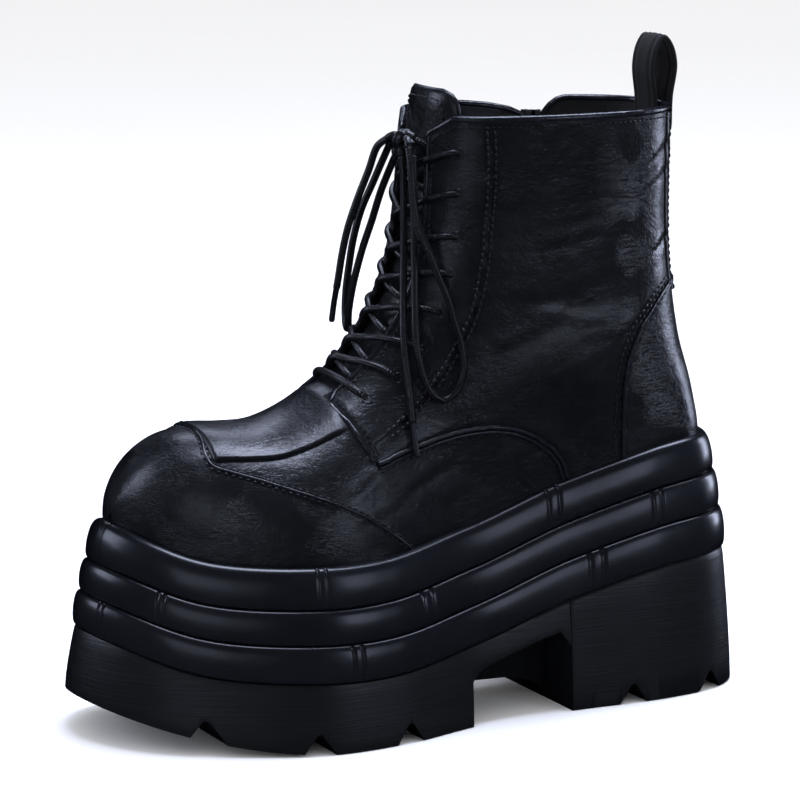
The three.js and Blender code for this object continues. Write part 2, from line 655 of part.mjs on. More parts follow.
// ---------------------------------------------------------------- pull loop
function buildPullLoop() {
  const line = new THREE.CatmullRomCurve3(STRAP_LINE.map((p) => new THREE.Vector3(p.s, p.z, 0)));
  const steps = 22;
  const edge = (amount) => Array.from({ length: steps + 1 }, (_, i) => {
    const p = line.getPointAt(i / steps);
    const along = line.getTangentAt(i / steps);
    return [p.x - along.y * amount, p.y + along.x * amount];
  });
  return sideCut([...edge(STRAP.thick / 2), ...edge(-STRAP.thick / 2).reverse()], -STRAP.half, STRAP.half);
}

// ---------------------------------------------------------------- laces
function tube(points, diameter, sides, steps) {
  const section = new THREE.Shape(Array.from({ length: sides }, (_, i) => {
    const angle = (2 * Math.PI * i) / sides;
    return new THREE.Vector2(Math.cos(angle), Math.sin(angle)).multiplyScalar(diameter / 2);
  }));
  const path = new THREE.CatmullRomCurve3(points, false, "centripetal");
  return new THREE.ExtrudeGeometry(section, { steps, bevelEnabled: false, extrudePath: path });
}

const instepPath = frontSamples.filter((p) => p.s < 205);
const rowIndex = EYELET_ROWS.map(({ z }) => instepPath.findIndex((p) => p.z >= z));

// A point lifted off the skin, at a distance from the centre line under a point of the front line.
function overSkin(index, x, lift) {
  const at = Math.round(index);
  const across = nearRidge(instepPath, at, x + 1.5).sub(nearRidge(instepPath, at, x - 1.5));
  const along = nearRidge(instepPath, at + 5, x).sub(nearRidge(instepPath, at - 5, x));
  return nearRidge(instepPath, at, x).addScaledVector(across.cross(along).normalize(), lift);
}

// One strand comes up between the facings at the lower row, crosses the tongue and the edge of
// the other facing, and ends over the eyelet of the upper row.
const STRAND = [
  { x: -11, share: 0, lift: 0.3 }, { x: -7, share: 0.1, lift: 1.7 }, { x: 0, share: 0.32, lift: 2.5 },
  { x: 12, share: 0.7, lift: 2.5 }, { x: 18, share: 0.88, lift: 2.4 }, { x: EYELET_X, share: 1, lift: 2.3 },
];
function buildCrossing(row) {
  // The lowest crossing starts a little above the bar of the last row.
  const clear = row === EYELET_ROWS.length - 1 ? 0.34 : 0;
  const upper = rowIndex[row - 1];
  const lower = mix(rowIndex[row], upper, clear);
  const strand = (side) => solid(tube(
    STRAND.map(({ x, share, lift }) => overSkin(mix(lower, upper, share), side * x, lift)), LACE, 6, 7));
  return strand(1).add(strand(-1));
}

function buildLowBar() {
  const index = rowIndex[EYELET_ROWS.length - 1];
  const points = [-1, -0.6, 0, 0.6, 1].map((share) => overSkin(index, share * EYELET_X, 2.6));
  return tube(points, LACE, 6, 10);
}

// The two strands that come up from behind the facings at the top row and run into the knot.
const TOP_STRANDS = [
  { name: "lace_top_lateral", side: 1, meet: { x: 12.9, s: 146, z: 231.4 } },
  { name: "lace_top_medial", side: -1, meet: { x: -3, s: 146.6, z: 231.4 } },
];
function buildTopStrand({ side, meet }) {
  const index = rowIndex[0];
  const points = [overSkin(index + 3, side * 12, 0), overSkin(index + 4, side * 11.4, 1.6),
    place(meet.x, meet.s, meet.z)];
  return tube(points, LACE, 6, 4);
}

function buildKnot() {
  const lump = new THREE.SphereGeometry(1, 12, 8);
  lump.rotateX(Math.PI / 2);
  lump.scale(KNOT.across, KNOT.deep, KNOT.high);
  lump.translate(KNOT.x, -KNOT.s, KNOT.z);
  return geometryOf(solid(lump));
}

// A loose end is a cord and, 0.3 mm further on, its aglet along the last stretch of the same line.
function splitEnd(rows) {
  const line = new THREE.CatmullRomCurve3(rows.map((p) => place(p.x, p.s, p.z)), false, "centripetal");
  const length = line.getLength();
  const piece = (from, to, count) => Array.from({ length: count }, (_, i) => (
    line.getPointAt(mix(from, to, i / (count - 1)) / length)));
  return {
    cord: piece(0, length - AGLET, 12),
    aglet: piece(length - AGLET + GAP, length, 4),
    steps: Math.round((length - AGLET) / (2.5 * LACE)),
  };
}

function cordTube(rows) {
  const points = rows.map((p) => place(p.x, p.s, p.z));
  const length = new THREE.CatmullRomCurve3(points, false, "centripetal").getLength();
  return tube(points, LACE, 8, Math.round(length / (2.5 * LACE)));
}

// ---------------------------------------------------------------- the boot
function material(colour, roughness, metalness = 0) {
  return new THREE.MeshStandardMaterial({ color: colour, roughness, metalness });
}
const rubber = material(COLOURS.rubber, 0.45);
const leather = material(COLOURS.leather, 0.35);

const boot = new THREE.Group();
function add(name, geometry, finish) {
  const mesh = new THREE.Mesh(geometry, finish);
  mesh.name = name;
  boot.add(mesh);
}

add("outsole", geometryOf(buildOutsole()), rubber);
add("heel", geometryOf(buildHeel()), rubber);
RIBS.forEach((rib, level) => add(rib.name, ribGeometry(level), rubber));
add("insole", buildInsole(), material(COLOURS.lining, 0.8));
add("upper", buildUpper(), leather);
add("tongue", buildTongue(), material(COLOURS.tongue, 0.4));
add("pull_loop", geometryOf(buildPullLoop()), material(COLOURS.webbing, 0.7));
const metal = material(COLOURS.metal, 0.35, 1);
add("zip_chain", buildZipChain(), material(COLOURS.coil, 0.5));
add("zip_slider", geometryOf(buildZipSlider()), metal);
add("zip_pull", geometryOf(buildZipPull()), metal);

const lace = material(COLOURS.lace, 0.55);
for (let row = 1; row < EYELET_ROWS.length; row += 1) add(`lace_cross_${row}`, geometryOf(buildCrossing(row)), lace);
add("lace_bar_bottom", buildLowBar(), lace);
for (const strand of TOP_STRANDS) add(strand.name, buildTopStrand(strand), lace);

// The origin is under the middle of the boot's box, on the ground. The bow doesn't count in it.
const box = new THREE.Box3().setFromObject(boot);

add("lace_knot", buildKnot(), lace);
add("lace_loop_lateral", cordTube(LOOP_LATERAL), lace);
add("lace_loop_medial", cordTube(LOOP_MEDIAL), lace);
for (const [side, rows] of Object.entries({ lateral: END_LATERAL, medial: END_MEDIAL })) {
  const end = splitEnd(rows);
  add(`lace_end_${side}`, tube(end.cord, LACE, 8, end.steps), lace);
  add(`aglet_${side}`, tube(end.aglet, LACE, 8, 2), material(COLOURS.aglet, 0.3));
}

boot.position.set(-(box.min.x + box.max.x) / 2, -(box.min.y + box.max.y) / 2, -box.min.z);

export default boot;
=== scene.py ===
import math

import bmesh
import bpy
import numpy as np
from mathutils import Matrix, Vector
from mathutils.bvhtree import BVHTree


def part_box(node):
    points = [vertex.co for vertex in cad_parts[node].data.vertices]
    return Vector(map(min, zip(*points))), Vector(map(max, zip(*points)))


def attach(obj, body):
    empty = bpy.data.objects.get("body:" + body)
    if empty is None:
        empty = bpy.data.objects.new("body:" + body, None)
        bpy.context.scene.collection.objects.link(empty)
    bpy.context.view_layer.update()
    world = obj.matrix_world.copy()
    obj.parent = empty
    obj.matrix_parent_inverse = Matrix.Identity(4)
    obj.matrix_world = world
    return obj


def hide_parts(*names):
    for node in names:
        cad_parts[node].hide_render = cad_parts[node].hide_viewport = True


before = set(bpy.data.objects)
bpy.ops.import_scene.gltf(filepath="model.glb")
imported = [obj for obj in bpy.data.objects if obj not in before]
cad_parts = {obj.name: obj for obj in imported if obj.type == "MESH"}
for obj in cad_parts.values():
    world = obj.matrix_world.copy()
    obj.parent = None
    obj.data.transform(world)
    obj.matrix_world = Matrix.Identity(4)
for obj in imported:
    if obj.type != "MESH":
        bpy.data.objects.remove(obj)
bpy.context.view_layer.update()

BOOT = "boot"
MM = 0.001

# ---------------------------------------------------------------- the boot's own place in the frame
loop_low, loop_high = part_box("pull_loop")
MIDDLE_X = (loop_low.x + loop_high.x) / 2 / MM
HEEL_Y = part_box("heel")[1].y / MM


def place(x, s, z):
    """Millimetres in the frame for places given as x, station and height."""
    x, s, z = np.broadcast_arrays(np.asarray(x, float), np.asarray(s, float), np.asarray(z, float))
    return np.stack([x + MIDDLE_X, HEEL_Y - s, z], axis=-1)


def spot(point):
    """The same place in metres, for the camera."""
    return tuple(float(v) * MM for v in place(*point))


def in_scene(name, data):
    """A new object with its data, linked to the scene."""
    made = bpy.data.objects.new(name, data)
    bpy.context.scene.collection.objects.link(made)
    return made


# ---------------------------------------------------------------- camera
CAMERA = {"x": 1302.2, "s": 787.5, "z": 395.6}
AIM = {"x": -21.5, "s": 137.2, "z": 122.0}
LENS, SENSOR = 165.3, 36.0

camera_data = bpy.data.cameras.new("camera")
camera_data.lens = LENS
camera_data.sensor_width = SENSOR
camera = in_scene("camera", camera_data)
camera.location = spot(CAMERA.values())
aim = Vector(spot(AIM.values()))
camera.rotation_euler = (aim - camera.location).to_track_quat("-Z", "Y").to_euler()
bpy.context.scene.camera = camera
bpy.context.scene.view_settings.view_transform = "Standard"

# ---------------------------------------------------------------- the last and the sole, as tables
SOLE_LENGTH = 284
GAP = 0.3  # clearance between neighbouring parts of the sole unit
WALL = 2.2  # leather and lining together
COLLAR_Z = 241
TOE_SHIFT = -17  # how far the middle of the boot moves over by the toe, from SHIFT_START on
SHIFT_START = 120
ACROSS = (-90, 90)  # past both sides of the boot, for cutters
LINE_STEP = 0.9  # between the points of a seam, an edge or a stitch row
LACE_STEP = 0.7
BOW_STEP = 0.8
OUTLINE = np.array([  # station, lateral edge, medial edge
    (0, 0, 0), (4, 21.5, -21), (18, 34, -33), (45, 40, -38.5), (91, 40, -35), (131, 43, -36),
    (171, 54.5, -45.5), (206, 56, -54), (240, 42, -57.5), (264, 25, -52), (278, 5.5, -38.5),
    (SOLE_LENGTH, TOE_SHIFT, TOE_SHIFT)], float)
BLOCK_TOP = [(0, 57.7), (45, 55.1), (90, 45.3), (130, 33.3), (170, 27.6), (210, 27.8), (250, 31.1),
             (SOLE_LENGTH, 42.5)]
RIBS = [  # name, height at the heel, loss by the toe, inset at the ends and sides, bulge
    ("rib_low", 16.8, 2.8, 5, 4, 2.4), ("rib_middle", 15.8, 2.9, 7.5, 6.3, 2.4),
    ("rib_top", 16.6, 0.6, 10.5, 9, 3.4)]
FEATHER = (16.5, 13)  # inset of the line where the upper meets the sole unit, at the ends and sides
TOE_SPRING = 16.7
SPRING_START = 196
HEEL_FRONT = 89
FOREFOOT_BACK = 137
LUG_NOTCHES = [22, 61, 169, 209, 249]
BACK = [(60, 16.5), (107, 16.5), (120, 18), (130, 19.5), (144, 23), (159, 26.3), (170, 28.2),
        (185, 29.8), (209, 30.6), (260, 30.2)]
FRONT = np.array([  # station, height
    (267.5, 85.7), (267.2, 91), (264.6, 98.5), (259.5, 107.5), (253, 114.3), (245, 118.9), (234, 121),
    (222, 120.8), (209, 121.6), (194, 127.6), (178, 139.2), (166, 151.5), (156.5, 166), (150.3, 180),
    (146.6, 195), (144.5, 211), (143, 228), (142, COLLAR_Z), (141.5, 256)], float)
SHAFT = [(70, 31.5), (107, 31.5), (130, 33), (150, 33), (170, 33), (200, 34.5), (COLLAR_Z, 37.5),
         (256, 38)]
SHAFT_MIDDLE = 84
THROAT_HALF = 14  # half the width between the facings, and THROAT_TOP the same at the collar
THROAT_TOP = 12.5
THROAT_END = 192
CORNER_WIDE, CORNER_HIGH = 8, 6  # the round upper corner of each facing
ZIP_S, ZIP_HALF, ZIP_FOOT = 69, 3.5, 122  # station, half width and lower end of the zip's slit
NOTCH_FLOOR = 233.3
NOTCH_REAR = [(54, 241.4), (58.5, 240.2), (61.5, 238), (64.4, 234.6), (65, NOTCH_FLOOR)]
NOTCH_AHEAD = [(73, NOTCH_FLOOR), (73.8, 234.2), (80, 236.9), (90, 239), (101, 240.3), (112, 241.2)]


def smooth_table(rows):
    """A smooth function through the rows of a table, with slopes from the neighbouring rows."""
    key, value = np.array(rows, float).T
    last = len(key) - 1
    before = np.maximum(np.arange(last + 1) - 1, 0)
    after = np.minimum(np.arange(last + 1) + 1, last)
    slope = (value[after] - value[before]) / (key[after] - key[before])

    def at(v):
        v = np.clip(v, key[0], key[-1])
        i = np.clip(np.searchsorted(key, v, side="left") - 1, 0, last - 1)
        width = key[i + 1] - key[i]
        t = (v - key[i]) / width
        a, b = value[i], value[i + 1]
        m0, m1 = slope[i] * width, slope[i + 1] * width
        return a + t * (m0 + t * (3 * (b - a) - 2 * m0 - m1 + t * (2 * (a - b) + m0 + m1)))
    return at


def catmull(points, t, closed=False):
    """Points of a centripetal Catmull-Rom curve, at shares t of its spans."""
    points = np.asarray(points, float)
    count = len(points)
    spans = (count if closed else count - 1) * np.asarray(t, float)
    i = np.floor(spans).astype(int)
    w = spans - i
    if closed:
        def pick(j):
            return points[j % count]
    else:
        at_end = i >= count - 1
        i = np.where(at_end, count - 2, i)
        w = np.where(at_end, 1.0, w)
        long = np.vstack([2 * points[0] - points[1], points, 2 * points[-1] - points[-2]])

        def pick(j):
            return long[j + 1]
    p0, p1, p2, p3 = pick(i - 1), pick(i), pick(i + 1), pick(i + 2)

    def knot(a, b):
        return np.sqrt(np.linalg.norm(a - b, axis=-1))[..., None]
    d0, d1, d2 = knot(p0, p1), knot(p1, p2), knot(p2, p3)
    t1 = ((p1 - p0) / d0 - (p2 - p0) / (d0 + d1) + (p2 - p1) / d1) * d1
    t2 = ((p2 - p1) / d1 - (p3 - p1) / (d1 + d2) + (p3 - p2) / d2) * d1
    w = w[..., None]
    return p1 + w * (t1 + w * (-3 * p1 + 3 * p2 - 2 * t1 - t2 + w * (2 * p1 - 2 * p2 + t1 + t2)))


def mix(a, b, t):
    """From a to b by the share t."""
    return a + (b - a) * t


def ease(a, b, v):
    """0 before a and 1 after b, with a soft start and end."""
    t = np.clip((v - a) / (b - a), 0, 1)
    return t * t * (3 - 2 * t)


def unit(vectors):
    """Each vector at a length of one."""
    return vectors / np.linalg.norm(vectors, axis=-1, keepdims=True)


def squared_off(v, power):
    """A sine or cosine made fuller, for sections with rounded corners."""
    return np.sign(v) * np.abs(v) ** power


def run_along(line):
    """The distance from the start of a line to each of its points."""
    return np.r_[0, np.cumsum(np.linalg.norm(np.diff(line, axis=0), axis=1))]


def spaced(points, step=None, count=None):
    """A line of points laid out again at even distances."""
    points = np.asarray(points, float)
    run = run_along(points)
    if count is None:
        count = max(2, int(round(run[-1] / step)) + 1)
    at = np.linspace(0, run[-1], count)
    return np.stack([np.interp(at, run, points[:, k]) for k in range(points.shape[1])], axis=1)


def smooth_line(points, step):
    """A smooth curve through a few given points, at even distances."""
    return spaced(catmull(points, np.linspace(0, 1, 40 * len(points))), step)


# ---------------------------------------------------------------- lines of the sole
block_top = smooth_table(BLOCK_TOP)


def sole_line(level, s):
    """The top of the tread for level 0, and of each rib above it."""
    return block_top(s) + sum(rib[1] - rib[2] * s / SOLE_LENGTH for rib in RIBS[:level])


def ground(s):
    """The underside of the tread, which rises at the toe."""
    return TOE_SPRING * np.clip((s - SPRING_START) / (SOLE_LENGTH - SPRING_START), 0, 1) ** 2


def centre_line(s):
    """The middle of the boot, which leans to the medial side at the toe."""
    return TOE_SHIFT * np.clip((s - SHIFT_START) / (SOLE_LENGTH - SHIFT_START), 0, 1) ** 2


OUTLINE_POINTS = np.vstack([OUTLINE[:, [1, 0]], OUTLINE[1:-1][::-1][:, [2, 0]]])


def outline_loop(t, inset):
    """The outline at shares t, set in by an amount for the ends and one for the sides: x, station
    and the station on the ground, which the heights follow."""
    t = np.asarray(t, float)
    point = catmull(OUTLINE_POINTS, t, closed=True)
    behind = catmull(OUTLINE_POINTS, t - 1e-4 + 1, closed=True)
    along = catmull(OUTLINE_POINTS, t + 1e-4, closed=True) - behind
    inward = unit(np.stack([-along[:, 1], along[:, 0]], axis=1))
    amount = mix(inset[1], inset[0], inward[:, 1] ** 2)[:, None]
    moved = point + inward * amount
    return moved[:, 0], moved[:, 1], point[:, 1]


# ---------------------------------------------------------------- the upper's own function
back_line = smooth_table(BACK)
shaft_half = smooth_table(SHAFT)
front_line = spaced(catmull(FRONT, np.linspace(0, 1, 4001)), count=601)
by_station = front_line[np.argsort(front_line[:, 0], kind="stable")]
instep = front_line[front_line[:, 0] < 205]


def ridge_height(s):
    """The highest line of the toe and vamp."""
    return np.interp(s, by_station[:, 0], by_station[:, 1])


def front_station(z):
    """The front line of the instep and shaft."""
    below = instep[0, 0] + 4 * (instep[0, 1] - z)
    return np.where(z > instep[0, 1], np.interp(z, instep[:, 1], instep[:, 0]), below)


feather_x, feather_s, feather_foot = outline_loop(np.arange(600) / 600, FEATHER)
feather_z = sole_line(3, feather_foot) + 1.7 * GAP


def feather_side(side, rows):
    """Stations, half widths and heights of the feather line; both sides meet at heel and toe."""
    s = feather_s[rows]
    half = side * (feather_x[rows] - centre_line(s))
    half = np.maximum(half, 1.2 * np.sqrt(np.clip(s[-1] - s, 0, 1)))
    half[[0, -1]] = 0
    return s, half, feather_z[rows]


FEATHER_SIDE = {1: feather_side(1, np.arange(301)),
                -1: feather_side(-1, np.r_[np.arange(300, 600), 0][::-1])}
FEATHER_BACK, FEATHER_TOE = feather_s[0], feather_s[300]


def nose(t, power):
    """How full a rounded end still is at the share t towards its tip."""
    return (1 - np.clip(t, 0, 1) ** power) ** (1 / power)


def foot_height(side, s):
    """Where the upper meets the sole unit."""
    return np.interp(s, FEATHER_SIDE[side][0], FEATHER_SIDE[side][2])


def skin_half(side, s, z):
    """Distance from the centre line to the skin; side is 1 for lateral and -1 for medial."""
    stations, halves, _ = FEATHER_SIDE[side]
    foot = foot_height(side, s)
    height = (z - foot) / np.maximum(1, ridge_height(s) - foot)
    vamp = np.interp(s, stations, halves) * nose(height, mix(2.15, 2.5, ease(205, 245, s)))
    back = back_line(z)
    heel_s = s - (back - FEATHER_BACK) * (1 - ease(FEATHER_BACK, 120, s))
    behind = np.where(s < SHAFT_MIDDLE, nose((SHAFT_MIDDLE - s) / (SHAFT_MIDDLE - back), 2.3), 1)
    wall = mix(np.interp(heel_s, stations, halves), shaft_half(z) * behind, ease(foot, 150, z))
    reach = (s - SHAFT_MIDDLE) / (front_station(z) - SHAFT_MIDDLE)
    ahead = np.where(s > SHAFT_MIDDLE, nose(reach, 2.5), 1)
    return mix(wall * ahead, vamp, ease(142, 196, s))


def skin_point(side, s, z):
    """A place on the skin at a station and a height."""
    return place(centre_line(s) + side * skin_half(side, s, z), s, z)


def near_ridge(index, x):
    """The skin at a distance x from the centre line, under a point of the instep's front line."""
    index, x = np.broadcast_arrays(np.asarray(index, float), np.asarray(x, float))
    last = len(instep) - 1
    rows = np.arange(last + 1)

    def along(i):
        return np.stack([np.interp(i, rows, instep[:, 0]), np.interp(i, rows, instep[:, 1])], axis=-1)
    point = along(index)
    run = along(np.clip(index + 6, 0, last)) - along(np.clip(index - 6, 0, last))
    run = unit(run)
    into = np.stack([-run[..., 1], run[..., 0]], axis=-1)
    near, far = np.zeros(index.shape), np.full(index.shape, 45.0)
    for _ in range(26):
        middle = (near + far) / 2
        s = point[..., 0] + into[..., 0] * middle
        z = point[..., 1] + into[..., 1] * middle
        half = np.where(x > 0, skin_half(1, s, z), skin_half(-1, s, z))
        inside = half > np.abs(x)
        far = np.where(inside, middle, far)
        near = np.where(inside, near, middle)
    s = point[..., 0] + into[..., 0] * far
    z = point[..., 1] + into[..., 1] * far
    return place(centre_line(s) + x, s, z)


def over_skin(index, x, lift):
    """A point lifted off the skin of the instep by a distance along its normal."""
    across = near_ridge(index, np.asarray(x) + 1.5) - near_ridge(index, np.asarray(x) - 1.5)
    along = near_ridge(np.asarray(index) + 5, x) - near_ridge(np.asarray(index) - 5, x)
    normal = unit(np.cross(across, along))
    return near_ridge(index, x) + normal * np.asarray(lift)[..., None]


def throat_half(s, z):
    """Half the open width between the facings, round at the lower end and at the collar."""
    end = np.clip((s - (THROAT_END - THROAT_HALF)) / THROAT_HALF, 0, 1)
    corner = np.clip((z - (COLLAR_Z - CORNER_HIGH)) / CORNER_HIGH, 0, 1)
    half = mix(THROAT_HALF, THROAT_TOP, ease(190, 234, z))
    return half * np.sqrt(1 - end ** 2) + CORNER_WIDE * (1 - np.sqrt(1 - corner ** 2))


# ---------------------------------------------------------------- materials
def linear(code):
    """An sRGB hex colour as linear RGBA."""
    parts = [int(code[k:k + 2], 16) / 255 for k in (1, 3, 5)]
    return tuple(c / 12.92 if c <= 0.04045 else ((c + 0.055) / 1.055) ** 2.4 for c in parts) + (1,)


def add(tree, kind, inputs=None, **settings):
    """One shader node with its settings, and its inputs set or linked."""
    made = tree.nodes.new(kind)
    for name, value in settings.items():
        setattr(made, name, value)
    for socket, value in (inputs or {}).items():
        if isinstance(value, bpy.types.NodeSocket):
            tree.links.new(value, made.inputs[socket])
        else:
            made.inputs[socket].default_value = value
    return made


def start_material(name, **constants):
    """A new material with its shader, and the boot's own millimetres as coordinates."""
    made = bpy.data.materials.new(name)
    made.use_nodes = True
    tree = made.node_tree
    tree.nodes.clear()
    shader = add(tree, "ShaderNodeBsdfPrincipled", constants)
    add(tree, "ShaderNodeOutputMaterial", {"Surface": shader.outputs[0]})
    where = add(tree, "ShaderNodeTexCoord").outputs["Object"]
    return made, tree, shader, where


def scaled(tree, where, size, turn=(0, 0, 0)):
    """Coordinates in which one unit is the given size in millimetres along each axis."""
    scale = tuple(1 / (v * MM) for v in size)
    return add(tree, "ShaderNodeMapping", {"Vector": where, "Rotation": turn, "Scale": scale},
               vector_type="POINT").outputs[0]


def leather_material(name, dark, light, rough, crackle):
    """Polyurethane-coated leather, embossed and waxed: a deep blue-black with a soft gloss, fine
    crackle and short slanting wrinkles that catch the light."""
    made, tree, shader, where = start_material(
        name, **{"IOR": 1.5, "Coat Weight": 0.35, "Coat Roughness": 0.24, "Coat IOR": 1.5})
    cloud = add(tree, "ShaderNodeTexNoise", {"Vector": scaled(tree, where, (38, 38, 38)), "Scale": 1.0,
                                             "Detail": 3.0}).outputs[0]
    tint = add(tree, "ShaderNodeMix", {0: cloud, "A": linear(dark), "B": linear(light)}, data_type="RGBA")
    tree.links.new(tint.outputs["Result"], shader.inputs["Base Color"])
    # wrinkles about 9 mm long and 0.9 mm wide, only where a slow noise gathers them
    slant = add(tree, "ShaderNodeTexNoise", {"Vector": scaled(tree, where, (9, 9, 1.1), (0.62, 0.35, 0.2)),
                                             "Scale": 1.0, "Detail": 3.0, "Distortion": 2.0}).outputs[0]
    ridge = add(tree, "ShaderNodeMath", {0: slant, 1: 0.5}, operation="SUBTRACT").outputs[0]
    ridge = add(tree, "ShaderNodeMath", {0: ridge}, operation="ABSOLUTE").outputs[0]
    crease = add(tree, "ShaderNodeMapRange", {"Value": ridge, "From Min": 0.0, "From Max": 0.055,
                                              "To Min": 0.0, "To Max": 1.0}).outputs[0]
    patch = add(tree, "ShaderNodeTexNoise", {"Vector": scaled(tree, where, (21, 21, 21)), "Scale": 1.0,
                                             "Detail": 1.0}).outputs[0]
    gather = add(tree, "ShaderNodeMapRange", {"Value": patch, "From Min": 0.44, "From Max": 0.62}).outputs[0]
    plain = add(tree, "ShaderNodeMath", {0: 1.0, 1: gather}, operation="SUBTRACT").outputs[0]
    crease = add(tree, "ShaderNodeMath", {0: crease, 1: plain}, operation="MAXIMUM").outputs[0]
    # the emboss cells are 1.9 mm across, with a fine grain of 0.5 mm over them
    cells = add(tree, "ShaderNodeTexVoronoi", {"Vector": scaled(tree, where, (1.9, 1.9, 1.9)),
                                               "Scale": 1.0}, feature="DISTANCE_TO_EDGE").outputs[0]
    cells = add(tree, "ShaderNodeMapRange", {"Value": cells, "From Max": 0.16}).outputs[0]
    grain = add(tree, "ShaderNodeTexNoise", {"Vector": scaled(tree, where, (0.5, 0.5, 0.5)),
                                             "Scale": 1.0, "Detail": 2.0}).outputs[0]
    soft = add(tree, "ShaderNodeTexNoise", {"Vector": scaled(tree, where, (7, 7, 5)), "Scale": 1.0,
                                            "Detail": 3.0, "Roughness": 0.55}).outputs[0]
    first = add(tree, "ShaderNodeBump", {"Height": soft, "Strength": 0.5, "Distance": 0.0012}).outputs[0]
    second = add(tree, "ShaderNodeBump", {"Height": crease, "Strength": 0.6 * crackle, "Distance": 0.0006,
                                          "Normal": first}).outputs[0]
    third = add(tree, "ShaderNodeBump", {"Height": cells, "Strength": 0.22 * crackle, "Distance": 0.0002,
                                         "Normal": second}).outputs[0]
    last = add(tree, "ShaderNodeBump", {"Height": grain, "Strength": 0.16, "Distance": 0.00012,
                                        "Normal": third}).outputs[0]
    tree.links.new(last, shader.inputs["Normal"])
    worn = add(tree, "ShaderNodeMapRange", {"Value": cloud, "From Min": 0.3, "From Max": 0.7,
                                            "To Min": rough - 0.06, "To Max": rough + 0.08}).outputs[0]
    tree.links.new(worn, shader.inputs["Roughness"])
    return made


def foam_material():
    """Polyurethane foam, moulded against a polished tool and lacquered: smooth satin black that
    draws a long thin highlight along each rib."""
    made, tree, shader, where = start_material(
        "lacquered moulded foam", **{"IOR": 1.5, "Coat Weight": 0.3, "Coat Roughness": 0.18})
    cloud = add(tree, "ShaderNodeTexNoise", {"Vector": scaled(tree, where, (45, 45, 30)), "Scale": 1.0,
                                             "Detail": 2.0}).outputs[0]
    tint = add(tree, "ShaderNodeMix", {0: cloud, "A": linear("#090a0e"), "B": linear("#10121a")},
               data_type="RGBA")
    tree.links.new(tint.outputs["Result"], shader.inputs["Base Color"])
    worn = add(tree, "ShaderNodeMapRange", {"Value": cloud, "From Min": 0.3, "From Max": 0.7,
                                            "To Min": 0.24, "To Max": 0.33}).outputs[0]
    tree.links.new(worn, shader.inputs["Roughness"])
    wave = add(tree, "ShaderNodeTexNoise", {"Vector": scaled(tree, where, (14, 14, 9)), "Scale": 1.0,
                                            "Detail": 2.0}).outputs[0]
    grit = add(tree, "ShaderNodeTexNoise", {"Vector": scaled(tree, where, (0.6, 0.6, 0.6)), "Scale": 1.0,
                                            "Detail": 1.0}).outputs[0]
    first = add(tree, "ShaderNodeBump", {"Height": wave, "Strength": 0.25, "Distance": 0.0006}).outputs[0]
    last = add(tree, "ShaderNodeBump", {"Height": grit, "Strength": 0.08, "Distance": 0.0001,
                                        "Normal": first}).outputs[0]
    tree.links.new(last, shader.inputs["Normal"])
    return made


def tread_material():
    """Moulded rubber, its sides buffed along the sole: dull, with fine level brush lines."""
    made, tree, shader, where = start_material("buffed moulded rubber", **{"IOR": 1.52})
    cloud = add(tree, "ShaderNodeTexNoise", {"Vector": scaled(tree, where, (40, 40, 18)), "Scale": 1.0,
                                             "Detail": 3.0}).outputs[0]
    tint = add(tree, "ShaderNodeMix", {0: cloud, "A": linear("#08090c"), "B": linear("#0f1117")},
               data_type="RGBA")
    tree.links.new(tint.outputs["Result"], shader.inputs["Base Color"])
    # brush lines 0.45 mm apart and about 40 mm long
    brush = add(tree, "ShaderNodeTexNoise", {"Vector": scaled(tree, where, (40, 40, 0.45)), "Scale": 1.0,
                                             "Detail": 3.0}).outputs[0]
    bump = add(tree, "ShaderNodeBump", {"Height": brush, "Strength": 0.3, "Distance": 0.0003}).outputs[0]
    tree.links.new(bump, shader.inputs["Normal"])
    dull = add(tree, "ShaderNodeMapRange", {"Value": brush, "From Min": 0.3, "From Max": 0.7,
                                            "To Min": 0.32, "To Max": 0.5}).outputs[0]
    tree.links.new(dull, shader.inputs["Roughness"])
    return made


def woven_material(name, dark, light, pitch, sheen):
    """Woven or knitted polyester: threads at a real pitch, with a dry, slightly hairy look; its colour
    carries painted highlight on the raised threads and painted shade between them.
    """
    made, tree, shader, where = start_material(
        name, **{"Roughness": 0.85, "IOR": 1.45, "Sheen Weight": sheen, "Sheen Roughness": 0.5})
    fine = scaled(tree, where, (pitch, pitch, pitch))
    warp = add(tree, "ShaderNodeTexWave", {"Vector": fine, "Scale": 1 / 3.14159, "Distortion": 0.6},
               bands_direction="Z").outputs[1]
    weft = add(tree, "ShaderNodeTexWave", {"Vector": fine, "Scale": 1 / 3.14159, "Distortion": 0.6},
               bands_direction="DIAGONAL").outputs[1]
    cross = add(tree, "ShaderNodeMath", {0: warp, 1: weft}, operation="MULTIPLY").outputs[0]
    # painted highlight and shade: the colour follows the weave's height, lighter on the raised threads and
    # darker between them
    tint = add(tree, "ShaderNodeMix", {0: cross, "A": linear(dark), "B": linear(light)}, data_type="RGBA")
    tree.links.new(tint.outputs["Result"], shader.inputs["Base Color"])
    bump = add(tree, "ShaderNodeBump", {"Height": cross, "Strength": 0.7, "Distance": 0.0003}).outputs[0]
    tree.links.new(bump, shader.inputs["Normal"])
    return made


